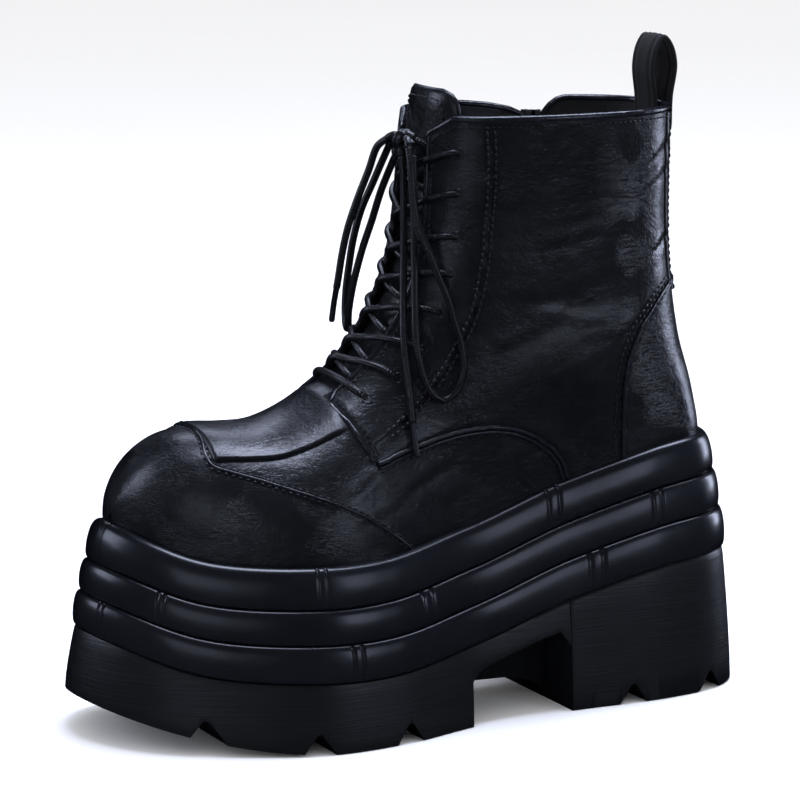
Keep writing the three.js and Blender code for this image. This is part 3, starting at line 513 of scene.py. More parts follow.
def cord_material(name, dark, light, rough):
    """Waxed polyester braid: sixteen strands that cross at a slant, with a low waxy shine; its colour carries
    painted highlight on the raised strands and painted shade in the grooves between them.
    """
    made, tree, shader, _ = start_material(name, **{"IOR": 1.5, "Roughness": rough, "Coat Weight": 0.6,
                                                        "Coat Roughness": 0.2})
    uv = add(tree, "ShaderNodeUVMap").outputs[0]
    parts = add(tree, "ShaderNodeSeparateXYZ", {0: uv})
    around, along = parts.outputs[0], parts.outputs[1]
    # u counts turns round the cord, and v is in metres: the braid repeats every 2.4 mm
    turn = add(tree, "ShaderNodeMath", {0: around, 1: 8.0 * math.pi}, operation="MULTIPLY").outputs[0]
    step = add(tree, "ShaderNodeMath", {0: along, 1: 2 * math.pi / 0.0024}, operation="MULTIPLY").outputs[0]
    plus = add(tree, "ShaderNodeMath", {0: turn, 1: step}, operation="ADD").outputs[0]
    minus = add(tree, "ShaderNodeMath", {0: turn, 1: step}, operation="SUBTRACT").outputs[0]
    one = add(tree, "ShaderNodeMath", {0: plus}, operation="SINE").outputs[0]
    two = add(tree, "ShaderNodeMath", {0: minus}, operation="SINE").outputs[0]
    braid = add(tree, "ShaderNodeMath", {0: one, 1: two}, operation="MULTIPLY").outputs[0]
    height = add(tree, "ShaderNodeMapRange", {"Value": braid, "From Min": -1.0, "From Max": 1.0}).outputs[0]
    # painted highlight and shade: the colour follows the braid's height, lighter on the raised strands and
    # darker in the grooves
    tint = add(tree, "ShaderNodeMix", {0: height, "A": linear(dark), "B": linear(light)}, data_type="RGBA")
    tree.links.new(tint.outputs["Result"], shader.inputs["Base Color"])
    bump = add(tree, "ShaderNodeBump", {"Height": height, "Strength": 0.8, "Distance": 0.00035}).outputs[0]
    tree.links.new(bump, shader.inputs["Normal"])
    return made


def metal_material():
    """Die-cast zinc under black lacquer: dark, hard and glossy, with a slightly uneven film."""
    made, tree, shader, where = start_material("black lacquered zinc", **{"Metallic": 1.0})
    shader.inputs["Base Color"].default_value = linear("#2b2c31")
    film = add(tree, "ShaderNodeTexNoise", {"Vector": scaled(tree, where, (1.5, 1.5, 1.5)), "Scale": 1.0,
                                            "Detail": 2.0}).outputs[0]
    rough = add(tree, "ShaderNodeMapRange", {"Value": film, "To Min": 0.22, "To Max": 0.4}).outputs[0]
    tree.links.new(rough, shader.inputs["Roughness"])
    bump = add(tree, "ShaderNodeBump", {"Height": film, "Strength": 0.1, "Distance": 0.0001}).outputs[0]
    tree.links.new(bump, shader.inputs["Normal"])
    return made


def film_material():
    """Acetate film shrunk round the lace end: smooth, hard and glossy, with faint crimp rings."""
    made, tree, shader, _ = start_material("shrunk acetate film", **{"IOR": 1.48, "Roughness": 0.2})
    shader.inputs["Base Color"].default_value = linear("#101116")
    uv = add(tree, "ShaderNodeUVMap").outputs[0]
    rings = add(tree, "ShaderNodeTexWave", {"Vector": uv, "Scale": 120.0}, bands_direction="Y").outputs[1]
    bump = add(tree, "ShaderNodeBump", {"Height": rings, "Strength": 0.2, "Distance": 0.0001}).outputs[0]
    tree.links.new(bump, shader.inputs["Normal"])
    return made


LEATHER = leather_material("waxed coated leather", "#08090b", "#101219", 0.3, 1.0)
TONGUE_LEATHER = leather_material("soft coated leather", "#08090b", "#101218", 0.36, 0.6)
PIPING = leather_material("rolled leather edge", "#0b0c10", "#15161e", 0.2, 0.2)
SMOOTH_LINING = leather_material("smooth leather lining", "#08090b", "#0e0f13", 0.45, 0.2)
# for each woven piece, the lighter colour of the pair is painted highlight on the raised threads
MESH_LINING = woven_material("knitted mesh lining", "#050607", "#15161a", 0.9, 0.2)
WEBBING = woven_material("ribbed webbing", "#08090b", "#121318", 0.5, 0.05)
TAPE = woven_material("woven zip tape", "#0a0b0d", "#1b1c20", 0.4, 0.1)
FELT = woven_material("brushed insole textile", "#08090a", "#121316", 0.5, 0.3)
FOAM = foam_material()
TREAD = tread_material()
# for thread and lace, the lighter colour of each pair is painted highlight on the raised strands
THREAD = cord_material("bonded nylon thread", "#0c0d12", "#20222b", 0.3)
LACE = cord_material("waxed braided lace", "#050608", "#111217", 0.3)
METAL = metal_material()
FILM = film_material()


# ---------------------------------------------------------------- pieces from points and faces
def piece(name, points, faces, materials, uvs=None):
    """A smooth mesh piece on the boot, from millimetres in the frame."""
    mesh = bpy.data.meshes.new(name)
    mesh.from_pydata([tuple(p) for p in np.asarray(points) * MM], [], faces)
    for item in materials:
        mesh.materials.append(item)
    if uvs is not None:
        layer = mesh.uv_layers.new(name="UVMap")
        layer.data.foreach_set("uv", np.array([uvs[c] for corners in faces for c in corners]).ravel())
    mesh.polygons.foreach_set("use_smooth", [True] * len(mesh.polygons))
    mesh.update()
    made = in_scene(name, mesh)
    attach(made, BOOT)
    return made


def grid_faces(rows, columns, wrap=False, start=0):
    """Quads of a grid stored row by row; wrap joins the last column to the first."""
    i, j = np.meshgrid(np.arange(rows - 1), np.arange(columns if wrap else columns - 1), indexing="ij")
    a = start + i * columns + j
    b = start + i * columns + (j + 1) % columns
    return np.stack([a, b, b + columns, a + columns], axis=-1).reshape(-1, 4)


def moving_frame(line):
    """Two directions across a line at each of its points, turning as little as they can."""
    ahead = unit(np.gradient(line, axis=0))
    first = np.cross(ahead[0], (0.3, 0.2, 0.93))
    across = [first / np.linalg.norm(first)]
    for k in range(1, len(line)):
        turned = across[-1] - ahead[k] * np.dot(across[-1], ahead[k])
        across.append(turned / np.linalg.norm(turned))
    across = np.array(across)
    return across, np.cross(ahead, across)


def capped_faces(rows, count):
    """Quads round a tube of rings, and one face over each end."""
    faces = [tuple(f) for f in grid_faces(rows, count, wrap=True)]
    return faces + [tuple(range(count))[::-1], tuple(range((rows - 1) * count, rows * count))]


def tube_parts(line, radius, sides=12, closed=False):
    """Points, faces and uvs of a round tube along a line of points. radius may vary along it."""
    line = np.asarray(line, float)
    radius = np.broadcast_to(np.asarray(radius, float), len(line))
    across, over = moving_frame(line)
    turns = np.arange(sides) / sides
    angle = 2 * np.pi * turns
    ring = across[:, None] * np.cos(angle)[None, :, None] + over[:, None] * np.sin(angle)[None, :, None]
    points = (line[:, None] + ring * radius[:, None, None]).reshape(-1, 3)
    faces = capped_faces(len(line), sides)
    if closed:
        faces = faces[:-2]
    uvs = np.stack([np.tile(turns, len(line)), np.repeat(run_along(line) * MM, sides)], axis=1)
    return points, faces, uvs


def joined(parts):
    """Several lists of points, faces and uvs as one."""
    points, faces, uvs, base = [], [], [], 0
    for some_points, some_faces, some_uvs in parts:
        points.append(some_points)
        uvs.append(some_uvs)
        faces.extend(tuple(c + base for c in f) for f in some_faces)
        base += len(some_points)
    return np.vstack(points), faces, np.vstack(uvs)


def joined_piece(name, parts, material):
    """One piece from several parts."""
    points, faces, uvs = joined(parts)
    return piece(name, points, faces, [material], uvs=uvs)


def tidy_mesh(made, weld=0.02):
    """Welds the points that meet and turns every face outwards."""
    work = bmesh.new()
    work.from_mesh(made.data)
    bmesh.ops.remove_doubles(work, verts=work.verts, dist=weld * MM)
    bmesh.ops.recalc_face_normals(work, faces=work.faces)
    work.to_mesh(made.data)
    work.free()
    made.data.update()
    return made


def apply_modifiers(made):
    """Leaves the piece with the mesh that its modifiers make."""
    depth = bpy.context.evaluated_depsgraph_get()
    mesh = bpy.data.meshes.new_from_object(made.evaluated_get(depth), preserve_all_data_layers=True,
                                           depsgraph=depth)
    made.modifiers.clear()
    old = made.data
    made.data = mesh
    bpy.data.meshes.remove(old)
    return made


def side_block(name, pairs, from_x, to_x):
    """A cutter: a side-view outline of (station, height) pairs carried across the boot."""
    count = len(pairs)
    s, z = np.array(pairs, float).T
    points = np.vstack([place(from_x, s, z), place(to_x, s, z)])
    faces = [tuple(range(count)), tuple(range(count, 2 * count))[::-1]]
    faces += [(k, count + k, count + (k + 1) % count, (k + 1) % count) for k in range(count)]
    mesh = bpy.data.meshes.new(name)
    mesh.from_pydata([tuple(p) for p in points * MM], [], faces)
    return tidy_mesh(in_scene(name, mesh))


def cut(made, cutters, operation="DIFFERENCE"):
    """Cuts a piece with each cutter in turn, and removes the cutters."""
    for cutter in cutters:
        change = made.modifiers.new("cut", "BOOLEAN")
        change.operation = operation
        change.solver = "EXACT"
        change.object = cutter
        apply_modifiers(made)
        bpy.data.objects.remove(cutter)
    return made


def stack_piece(name, rings, material):
    """A closed piece from rings of points stacked upwards, with strips across its two ends."""
    rings = np.asarray(rings)
    levels, n = rings.shape[:2]
    faces = [tuple(f) for f in grid_faces(levels, n, wrap=True)]
    for base in (0, (levels - 1) * n):
        for i in range(n // 2):
            quad = (base + i, base + i + 1, base + n - i - 1, base + (n - i) % n)
            faces.append(tuple(dict.fromkeys(quad)))
    made = piece(name, rings.reshape(-1, 3), faces, [material])
    return tidy_mesh(made, weld=0.001)


# ---------------------------------------------------------------- sole unit
# Pinch marks in the ribs, where the moulded rand is gathered: rib number, share round the outline.
PINCHES = [(0, 0.168), (0, 0.299), (0, 0.4697), (0, 0.655), (0, 0.815),
           (1, 0.138), (1, 0.254), (1, 0.4123), (1, 0.6), (1, 0.77),
           (2, 0.185), (2, 0.3177), (2, 0.4877), (2, 0.69), (2, 0.86)]
PINCH_SPACING = 3.8
PINCH_WIDTH = 0.65
PINCH_DEPTH = 1.7
OUTLINE_RUN = 690


def rib_shares(level):
    """Shares round the outline: even ones, and close ones round each pinch."""
    even = np.arange(300) / 300
    near = [centre + np.linspace(-5.2, 5.2, 44) / OUTLINE_RUN for rib, centre in PINCHES if rib == level]
    shares = np.unique(np.round(np.concatenate([even] + near), 6))
    if len(shares) % 2:
        shares = np.delete(shares, 1)
    return shares


def pinch_depth(level, shares):
    """How deep the pinch marks of a rib are at each share of the outline."""
    depth = np.zeros(len(shares))
    for rib, centre in PINCHES:
        if rib != level:
            continue
        for side in (-0.5, 0.5):
            gap = (shares - centre) * OUTLINE_RUN - side * PINCH_SPACING
            depth += np.exp(-(gap / PINCH_WIDTH) ** 2)
    return depth


def build_rib(level):
    """One rounded rib of the platform with its pinch marks, up to the foot of the next one."""
    name, _, _, end, side, bulge = RIBS[level]
    above = RIBS[level + 1][3:5] if level + 1 < len(RIBS) else FEATHER
    shares = rib_shares(level)
    pinch = pinch_depth(level, shares)
    rings = []
    for t in np.linspace(0, 1, 17):
        out = bulge * math.sin(math.pi * t) ** 0.62
        full = 0.2 * math.sin(math.pi * t) + math.exp(-((t - 0.88) / 0.1) ** 2)
        inset = (mix(end, above[0], t) - out, mix(side, above[1], t) - out)
        x, s, foot = outline_loop(shares, inset)
        deeper = outline_loop(shares, (inset[0] + PINCH_DEPTH, inset[1] + PINCH_DEPTH))
        sunk = pinch * full * math.sin(math.pi * t) ** 0.5
        x = mix(x, deeper[0], sunk)
        s = mix(s, deeper[1], sunk)
        low = sole_line(level, foot) + GAP
        rise = 0.5 - 0.5 * math.cos(math.pi * t)
        rings.append(place(x, s, mix(low, sole_line(level + 1, foot), rise)))
    made = stack_piece(name + "_moulding", rings, FOAM)
    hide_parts(name)


def tread_rings():
    """The tread's body: a small round at its bottom edge, then the flared wall, then a lip."""
    shares = np.arange(360) / 360
    top = (RIBS[0][3] - 0.5, RIBS[0][4] - 0.5)
    rings = []
    profile = [(0.0, 1.0), (0.006, 0.35), (0.016, 0.0), (0.2, 0.0), (0.4, 0.0), (0.6, 0.0), (0.8, 0.0),
               (0.95, 0.0), (0.985, 0.25), (1.0, 0.9)]
    for t, rounding in profile:
        inset = (top[0] * t ** 1.4 + rounding, top[1] * t ** 1.4 + rounding)
        x, s, foot = outline_loop(shares, inset)
        rings.append(place(x, s, mix(ground(foot), block_top(foot), t)))
    return rings


def notch_blocks(stations):
    """Cutters for the notches between the lugs."""
    blocks = []
    for s in stations:
        low = float(ground(s))
        blocks.append(side_block("notch", [
            (s - 9, low - 4), (s + 9, low - 4), (s + 6.2, low + 0.4), (s + 1.6, low + 7.1),
            (s + 0.6, low + 8), (s - 0.6, low + 8), (s - 1.6, low + 7.1), (s - 6.2, low + 0.4)], *ACROSS))
    return blocks


def build_tread():
    """Heel block and forefoot tread, with the waist plate and the web that joins them."""
    heel = stack_piece("heel_block", tread_rings(), TREAD)
    block = side_block("keep", [(-20, -20), (HEEL_FRONT, -20), (HEEL_FRONT, 200), (-20, 200)], *ACROSS)
    cut(heel, [block], "INTERSECT")
    cut(heel, notch_blocks(LUG_NOTCHES[:2]))
    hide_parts("heel")

    front = stack_piece("forefoot_tread", tread_rings(), TREAD)
    plate_low = float(block_top(100)) - 10
    waist_back = HEEL_FRONT + GAP
    plate = [(s, float(block_top(s)) - thick)
             for s, thick in ((94, 11.2), (105, 10.4), (120, 10), (132, 10.6))]
    waist = side_block("keep", [(waist_back, 27), *plate, (FOREFOOT_BACK - 1, 18), (FOREFOOT_BACK, -20),
                                (320, -20), (320, 200), (waist_back, 200)], *ACROSS)
    web = side_block("web", [(waist_back, 4), (94, 7), (103, 10), (FOREFOOT_BACK + 5, 11),
                             (FOREFOOT_BACK + 5, plate_low + 8), (waist_back, plate_low + 8)], -18, 14)
    cut(front, [waist], "INTERSECT")
    cut(front, [web], "UNION")
    cut(front, notch_blocks(LUG_NOTCHES[2:]))
    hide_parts("outsole")
    for made in (heel, front):
        soften = made.modifiers.new("soften", "BEVEL")
        soften.width = 0.7 * MM
        soften.segments = 2
        soften.limit_method = "ANGLE"
        soften.angle_limit = math.radians(38)
        apply_modifiers(made)
        made.data.polygons.foreach_set("use_smooth", [True] * len(made.data.polygons))
        made.data.set_sharp_from_angle(angle=math.radians(34))


for level in range(len(RIBS)):
    build_rib(level)
build_tread()

# ---------------------------------------------------------------- upper
COLUMNS = 190
ROWS = 84
COLLAR_SHARE = 0.42
THROAT_SHARE = 0.64


def feather_station(share):
    """Where a column of the skin starts, closer together at heel and toe."""
    return mix(FEATHER_BACK, FEATHER_TOE, 0.5 - 0.5 * math.cos(math.pi * share))


throat_path = front_line[(front_line[:, 1] <= COLLAR_Z) & (front_line[:, 0] <= THROAT_END)]
collar_reach = float(nose((THROAT_TOP + CORNER_WIDE) / shaft_half(COLLAR_Z), 2.5))
collar_front = mix(SHAFT_MIDDLE, float(front_station(np.array(COLLAR_Z * 1.0))), collar_reach)


def column_end(share):
    """Where a column of the skin ends: station, height and half the throat's width there."""
    if share <= COLLAR_SHARE:
        t = share / COLLAR_SHARE
        return mix(float(back_line(COLLAR_Z)), collar_front,
                   mix(t, 1 - math.cos(0.5 * math.pi * t), 0.6)), COLLAR_Z, 0.0
    if share < THROAT_SHARE:
        t = (share - COLLAR_SHARE) / (THROAT_SHARE - COLLAR_SHARE)
        at = (len(throat_path) - 1) * (1 - ease(0, 1, t))
        rows = np.arange(len(throat_path))
        s, z = np.interp(at, rows, throat_path[:, 0]), np.interp(at, rows, throat_path[:, 1])
        return s, z, float(throat_half(s, z))
    s = feather_station(share)
    return s, float(ridge_height(s)), 0.0


def skin_column(side, share):
    """One column of the skin from the feather line to the collar, the throat or the ridge."""
    start = feather_station(share)
    end_s, end_z, half = column_end(share)
    foot = float(foot_height(side, start))
    bend = 1 - ease(0, 0.2, share)

    def at(t):
        z = mix(foot, end_z, t)
        chord = mix(FEATHER_BACK, back_line(COLLAR_Z), t)
        return mix(start, end_s, t) + (back_line(z) - chord) * bend, z
    reach, short = 1.0, 0.4
    if half > 0:
        for _ in range(24):
            middle = (short + reach) / 2
            s, z = at(middle)
            if skin_half(side, s, z) > throat_half(s, z):
                short = middle
            else:
                reach = middle
    crowd = ease(COLLAR_SHARE - 0.1, COLLAR_SHARE + 0.12, share)
    t = np.linspace(0, 1, ROWS + 1)
    t = reach * mix(t, np.sin(0.5 * np.pi * t), crowd)
    s, z = at(t)
    return skin_point(side, s, z)


skin_grid = {side: np.array([skin_column(side, c / COLUMNS) for c in range(COLUMNS + 1)]) for side in (1, -1)}


def upper_mesh():
    """The skin as one welded sheet with its faces outwards. A turned-in margin below the feather
    line sits in the sole unit."""
    work = bmesh.new()
    for side in (1, -1):
        margin = skin_grid[side][:, :1] + (0, 0, -3.0)
        heart = place(centre_line(150), 150, 70)
        margin[..., :2] = mix(margin[..., :2], heart[:2], 0.018)
        grid = np.concatenate([margin, skin_grid[side]], axis=1)
        verts = [work.verts.new(tuple(p)) for p in grid.reshape(-1, 3)]
        for face in grid_faces(COLUMNS + 1, ROWS + 2):
            corners = [verts[c] for c in (face if side > 0 else face[::-1])]
            work.faces.new(corners)
    bmesh.ops.remove_doubles(work, verts=work.verts, dist=0.03)
    bmesh.ops.dissolve_degenerate(work, edges=work.edges, dist=0.001)
    work.normal_update()
    return work


# Seams in side view, as (station, height), where the pattern pieces meet.
FACING_FRONT = [(187.5, 132.5), (183, 126.2), (180.2, 119.3), (175.1, 109.1)]
QUARTER_SEAM = [(175.1, 109.1), (166.5, 111.9), (157.8, 113.8), (143.8, 117.1), (131.2, 118.8),
                (118.1, 118.5), (106.4, 115.3), (94.2, 107.9), (88.2, 101.1), (85.8, 94)]
COUNTER_SEAM = [(30.5, 170.5), (34.5, 169.2), (42.6, 164.1), (49.1, 158.1), (54.3, 153), (57.8, 147),
                (60.6, 138.5), (61, 122.5), (60.2, 100)]
EYESTAY = [(123.4, 237), (123, 230.9), (122.7, 216.2), (123.6, 199.9), (125, 184.5), (127.4, 171.8),
           (131.7, 159.8), (138.1, 148.8), (146.8, 136.8), (158.3, 125.7), (170.5, 118.5)]


def line_distance(pairs, s, z):
    """Distance from a line in side view, positive to the left of its direction."""
    line = smooth_line(pairs, 2.0)
    start, run = line[:-1], np.diff(line, axis=0)
    place_2d = np.stack([s, z], axis=1)
    away = place_2d[:, None] - start[None]
    share = np.clip((away * run).sum(axis=2) / (run ** 2).sum(axis=1), 0, 1)
    rest_of = away - share[..., None] * run[None]
    gap = np.linalg.norm(rest_of, axis=2)
    nearest = gap.argmin(axis=1)
    rows = np.arange(len(s))
    turn = run[nearest, 0] * away[rows, nearest, 1] - run[nearest, 1] * away[rows, nearest, 0]
    return gap[rows, nearest] * np.sign(turn)


def panel_lift(s, z):
    """The upper panels lie over the ones below and stand proud along their edges."""
    quarter = -line_distance([(196, 148)] + FACING_FRONT + QUARTER_SEAM[1:] + [(84, 80)], s, z)
    counter = -line_distance([(20, 174)] + COUNTER_SEAM + [(60, 80)], s, z)
    eyestay = line_distance([(123.6, 262)] + EYESTAY + [(186, 112)], s, z)
    lift = 1.0 * ease(-0.7, 0.9, quarter) * np.exp(-np.clip(quarter, 0, None) / 16)
    lift += 0.8 * ease(-0.7, 0.9, counter) * np.exp(-np.clip(counter, 0, None) / 18)
    lift += 0.9 * ease(-0.7, 0.7, eyestay) * ease(-4, 2, quarter)
    return lift


# Soft creases in the leather: side, station, height, direction in degrees, half length, half width
# and depth. A negative depth is a ridge.
CREASES = [
    (1, 47, 222, 28, 17, 1.5, 0.55), (1, 58, 213, 24, 20, 2.0, 0.4), (1, 44, 213, 30, 12, 1.4, 0.45),
    (1, 66, 203, 18, 15, 1.7, 0.35), (1, 41, 186, 33, 9, 1.2, 0.6), (1, 88, 190, 12, 16, 2.0, 0.3),
    (1, 96, 168, 8, 22, 2.6, 0.4), (1, 84, 160, -6, 18, 2.4, -0.35), (1, 110, 150, 20, 20, 2.8, 0.45),
    (1, 70, 150, 14, 15, 2.2, 0.35), (1, 84, 136, 24, 17, 2.2, 0.4), (1, 58, 132, 30, 12, 2.0, 0.35),
    (1, 128, 138, 34, 16, 2.6, 0.4), (1, 112, 126, 28, 16, 2.0, -0.3), (1, 78, 116, 32, 12, 1.8, 0.35),
    (1, 100, 106, 18, 12, 1.8, 0.3), (1, 150, 100, 20, 16, 2.2, 0.4), (1, 165, 92, 26, 14, 2.0, 0.35),
    (1, 182, 99, 30, 12, 2.0, -0.3), (1, 140, 90, 12, 15, 2.0, 0.3), (1, 205, 95, 40, 8, 1.4, 0.3),
    (1, 120, 205, -8, 9, 1.6, 0.3), (1, 122, 190, 6, 9, 1.6, -0.25), (1, 128, 176, 12, 9, 1.6, 0.3),
    (-1, 50, 220, 26, 16, 1.7, 0.5), (-1, 96, 206, 14, 18, 2.0, 0.35), (-1, 100, 176, 10, 20, 2.6, 0.4),
    (-1, 92, 158, -8, 18, 2.4, -0.35), (-1, 112, 148, 20, 20, 2.8, 0.45), (-1, 96, 134, 24, 16, 2.2, 0.4),
    (-1, 48, 150, 24, 12, 2.2, 0.35), (-1, 46, 128, 30, 12, 2.0, 0.35), (-1, 128, 130, 30, 16, 2.4, 0.4),
    (-1, 148, 100, 20, 16, 2.2, 0.4), (-1, 172, 92, 26, 14, 2.0, 0.35), (-1, 92, 112, 28, 14, 1.8, 0.3),
]


def crease_field(x, s, z):
    """How far the leather sinks at each place."""
    depth = np.zeros(len(s))
    for side, at_s, at_z, degrees, length, width, deep in CREASES:
        angle = math.radians(degrees)
        # back and up is the positive direction
        back, up = -(s - at_s), z - at_z
        along = back * math.cos(angle) + up * math.sin(angle)
        across = -back * math.sin(angle) + up * math.cos(angle) - 0.006 * along ** 2
        share = np.exp(-(along / length) ** 2) * np.exp(-(across / width) ** 2)
        share -= 0.5 * np.exp(-(along / length) ** 2) * np.exp(-((across - 2.1 * width) / width) ** 2)
        depth += deep * share * (np.sign(x - centre_line(s)) == side)
    # slow undulation of a soft shaft, largest at the ankle
    ankle = np.exp(-((z - 160) / 34) ** 2) * ease(40, 70, s) * (1 - ease(125, 150, s))
    depth += 0.55 * ankle * np.sin(z / 7.5 + s / 19)
    return depth


work = upper_mesh()
rest = np.array([v.co for v in work.verts])
normals = np.array([v.normal for v in work.verts])
boot_x, boot_s, boot_z = rest[:, 0] - MIDDLE_X, HEEL_Y - rest[:, 1], rest[:, 2]
sink = crease_field(boot_x, boot_s, boot_z)
# the feather line, the collar and the ridge keep their place
lateral = boot_x > centre_line(boot_s)
quiet = ease(0, 8, boot_z - np.where(lateral, foot_height(1, boot_s), foot_height(-1, boot_s)))
quiet *= 1 - ease(COLLAR_Z - 8, COLLAR_Z - 2, boot_z)
shaped = rest - normals * (sink * quiet - panel_lift(boot_s, boot_z))[:, None]
for vert, co in zip(work.verts, shaped):
    vert.co = co
work.normal_update()
skin_tree = BVHTree.FromBMesh(work)
skin_co = np.array([v.co for v in work.verts])
skin_normal = np.array([v.normal for v in work.verts])
skin_faces = [tuple(v.index for v in f.verts) for f in work.faces]
work.free()


def hug(points, lift=0.0):
    """The nearest places on the leather, lifted off it along its normal."""
    points = np.asarray(points, float)
    lift = np.broadcast_to(np.asarray(lift, float), len(points))
    found, outward = [], []
    for point in points:
        location, _, face, _ = skin_tree.find_nearest(Vector(point))
        corners = skin_faces[face]
        gaps = np.linalg.norm(skin_co[list(corners)] - np.array(location), axis=1) + 1e-3
        normal = (skin_normal[list(corners)] / gaps[:, None]).sum(axis=0)
        found.append(location)
        outward.append(normal / np.linalg.norm(normal))
    found, outward = np.array(found), np.array(outward)
    return found + outward * lift[:, None], outward


def trace(rows, step=0.8, lift=0.0):
    """A smooth line through given (x, station, z) rows, laid on the leather."""
    line = smooth_line(place(*np.array(rows, float).T), step)
    line = spaced(hug(line)[0], step)
    return hug(line, lift)


def side_rows(pairs, side=1):
    """(x, station, z) rows on the skin for side-view (station, height) pairs."""
    rows = []
    for s, z in pairs:
        rows.append((float(centre_line(s) + side * skin_half(side, s, z)), s, z))
    return rows


def beside(line, normals, amount):
    """A line moved sideways over the leather by a distance."""
    ahead = np.gradient(line, axis=0)
    across = unit(np.cross(ahead, normals))
    return hug(line + across * amount)


def build_upper():
    """The leather with its wall, its lining, the zip's slit and the notch at the slit's top."""
    layers = [LEATHER, MESH_LINING, SMOOTH_LINING, PIPING]
    made = piece("upper_shell", skin_co, skin_faces, layers)
    thick = made.modifiers.new("wall", "SOLIDIFY")
    thick.thickness = (WALL - 0.2) * MM
    thick.offset = -1
    thick.material_offset = 1
    thick.material_offset_rim = 3
    apply_modifiers(made)
    foot = [(ZIP_S - ZIP_HALF, ZIP_FOOT), (ZIP_S + ZIP_HALF, ZIP_FOOT)]
    top = [(112, COLLAR_Z + 4), (54, COLLAR_Z + 4)]
    cut(made, [side_block("slit", foot + NOTCH_AHEAD + top + NOTCH_REAR, -60, -16)])
    # the front half of the inside is lined with smooth leather
    for polygon in made.data.polygons:
        if polygon.material_index == 1 and HEEL_Y - polygon.center.y / MM > 84:
            polygon.material_index = 2
        polygon.use_smooth = True
    made.data.set_sharp_from_angle(angle=math.radians(60))
    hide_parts("upper")
    return made


build_upper()


# ---------------------------------------------------------------- stitches
LOCK_STITCH = {"length": 2.2, "gap": 0.7, "radius": 0.34}


def stitch_parts(line, normals, length, gap, radius, sides=6):
    """Threads along a line: each stitch rises from one hole, lies on the leather and dips in."""
    run = run_along(line)
    count = int(run[-1] // (length + gap))
    parts = []
    shares = np.linspace(0, 1, 5)
    heights = np.array([-0.35, 0.75, 0.95, 0.75, -0.35]) * radius
    widths = radius * np.array([0.6, 1.0, 1.05, 1.0, 0.6])
    for k in range(count):
        at = k * (length + gap) + shares * length
        middle = np.stack([np.interp(at, run, line[:, c]) for c in range(3)], axis=1)
        normal = np.stack([np.interp(at, run, normals[:, c]) for c in range(3)], axis=1)
        parts.append(tube_parts(middle + normal * heights[:, None], widths, sides=sides))
    return parts


def build_stitches(name, lines, **sizes):
    """Rows of stitches as one piece."""
    parts = [part for line, normals in lines for part in stitch_parts(line, normals, **sizes)]
    return joined_piece(name, parts, THREAD)


def roll_parts(line, normals, radius, sink=0.25, sides=10):
    """A rolled edge that lies in the leather along a line."""
    return tube_parts(line + normals * (radius * (1 - sink)), radius, sides=sides)


TOE_CAP = [(-8.6, 236, 120.6), (0, 236.2, 119.9), (6.2, 236.9, 118.5), (12.6, 238.4, 114.6),
           (17.5, 237.3, 110.7), (22.2, 230.8, 108.2), (27.1, 222.1, 105.5), (36.7, 204.6, 99.4),
           (41.4, 185, 90.9), (40.4, 172, 82.5), (37.8, 161, 74)]


def toe_cap_rows(side):
    """The toe cap's seam from the top of the toe down to the sole; the medial half mirrors it."""
    if side > 0:
        return TOE_CAP
    return [(2 * float(centre_line(s)) - x, s, z) for x, s, z in TOE_CAP]


thick_rows, fine_rows, rolls = [], [], []
for side in (1, -1):
    line, normals = trace(side_rows(QUARTER_SEAM, side))
    rolls.append(roll_parts(line, normals, 1.0))
    above = beside(line, normals, 2.1 * side)
    rolls.append(roll_parts(*above, 0.85))
    fine_rows.append(beside(line, normals, 3.9 * side))
    line, normals = trace(side_rows(COUNTER_SEAM, side))
    rolls.append(roll_parts(line, normals, 0.95))
    fine_rows.append(beside(line, normals, 1.9 * side))
    fine_rows.append(beside(line, normals, 3.9 * side))
    line, normals = trace(side_rows(EYESTAY, side))
    thick_rows.append(beside(line, normals, 1.55))
    thick_rows.append(beside(line, normals, -1.55))
cap = np.vstack([np.array(toe_cap_rows(1))[::-1], np.array(toe_cap_rows(-1))[1:]])
line, normals = trace(cap)
rolls.append(roll_parts(line, normals, 0.62, sink=0.5))
fine_rows.append(beside(line, normals, 1.15))
fine_rows.append(beside(line, normals, -1.15))
build_stitches("eyestay_stitches", thick_rows, length=2.5, gap=0.35, radius=0.62)
build_stitches("seam_stitches", fine_rows, length=2.2, gap=0.7, radius=0.36)
joined_piece("seam_rolls", rolls, PIPING)


def top_point(x, s):
    """The skin seen from above, at a distance from the centre line."""
    side = 1 if x >= 0 else -1
    low, high = float(foot_height(side, s)), float(ridge_height(s))
    for _ in range(24):
        z = (low + high) / 2
        if skin_half(side, s, z) > abs(x):
            low = z
        else:
            high = z
    return (float(centre_line(s)) + x, s, high)


# ---------------------------------------------------------------- binding of collar and facings
def edge_line(side, from_share, to_share):
    """The upper end of the skin's columns between two shares."""
    columns = range(int(round(from_share * COLUMNS)), int(round(to_share * COLUMNS)) + 1)
    return np.array([skin_grid[side][c][-1] for c in columns])


def notch_line(pairs):
    """A part of the notch's outline, on the medial skin."""
    s, z = np.array(pairs, float).T
    return skin_point(-1, s, z)


def facing_corner(side):
    """From the throat round the lower corner of the facing and down its front edge."""
    rows = [top_point(side * 14.2, 181.5), top_point(side * 16.6, 184.4), top_point(side * 19.6, 184.9)]
    rows += side_rows([(182.6, 124.4), (180.2, 119.3), (175.6, 110)], side)
    return smooth_line(place(*np.array(rows).T), LINE_STEP)


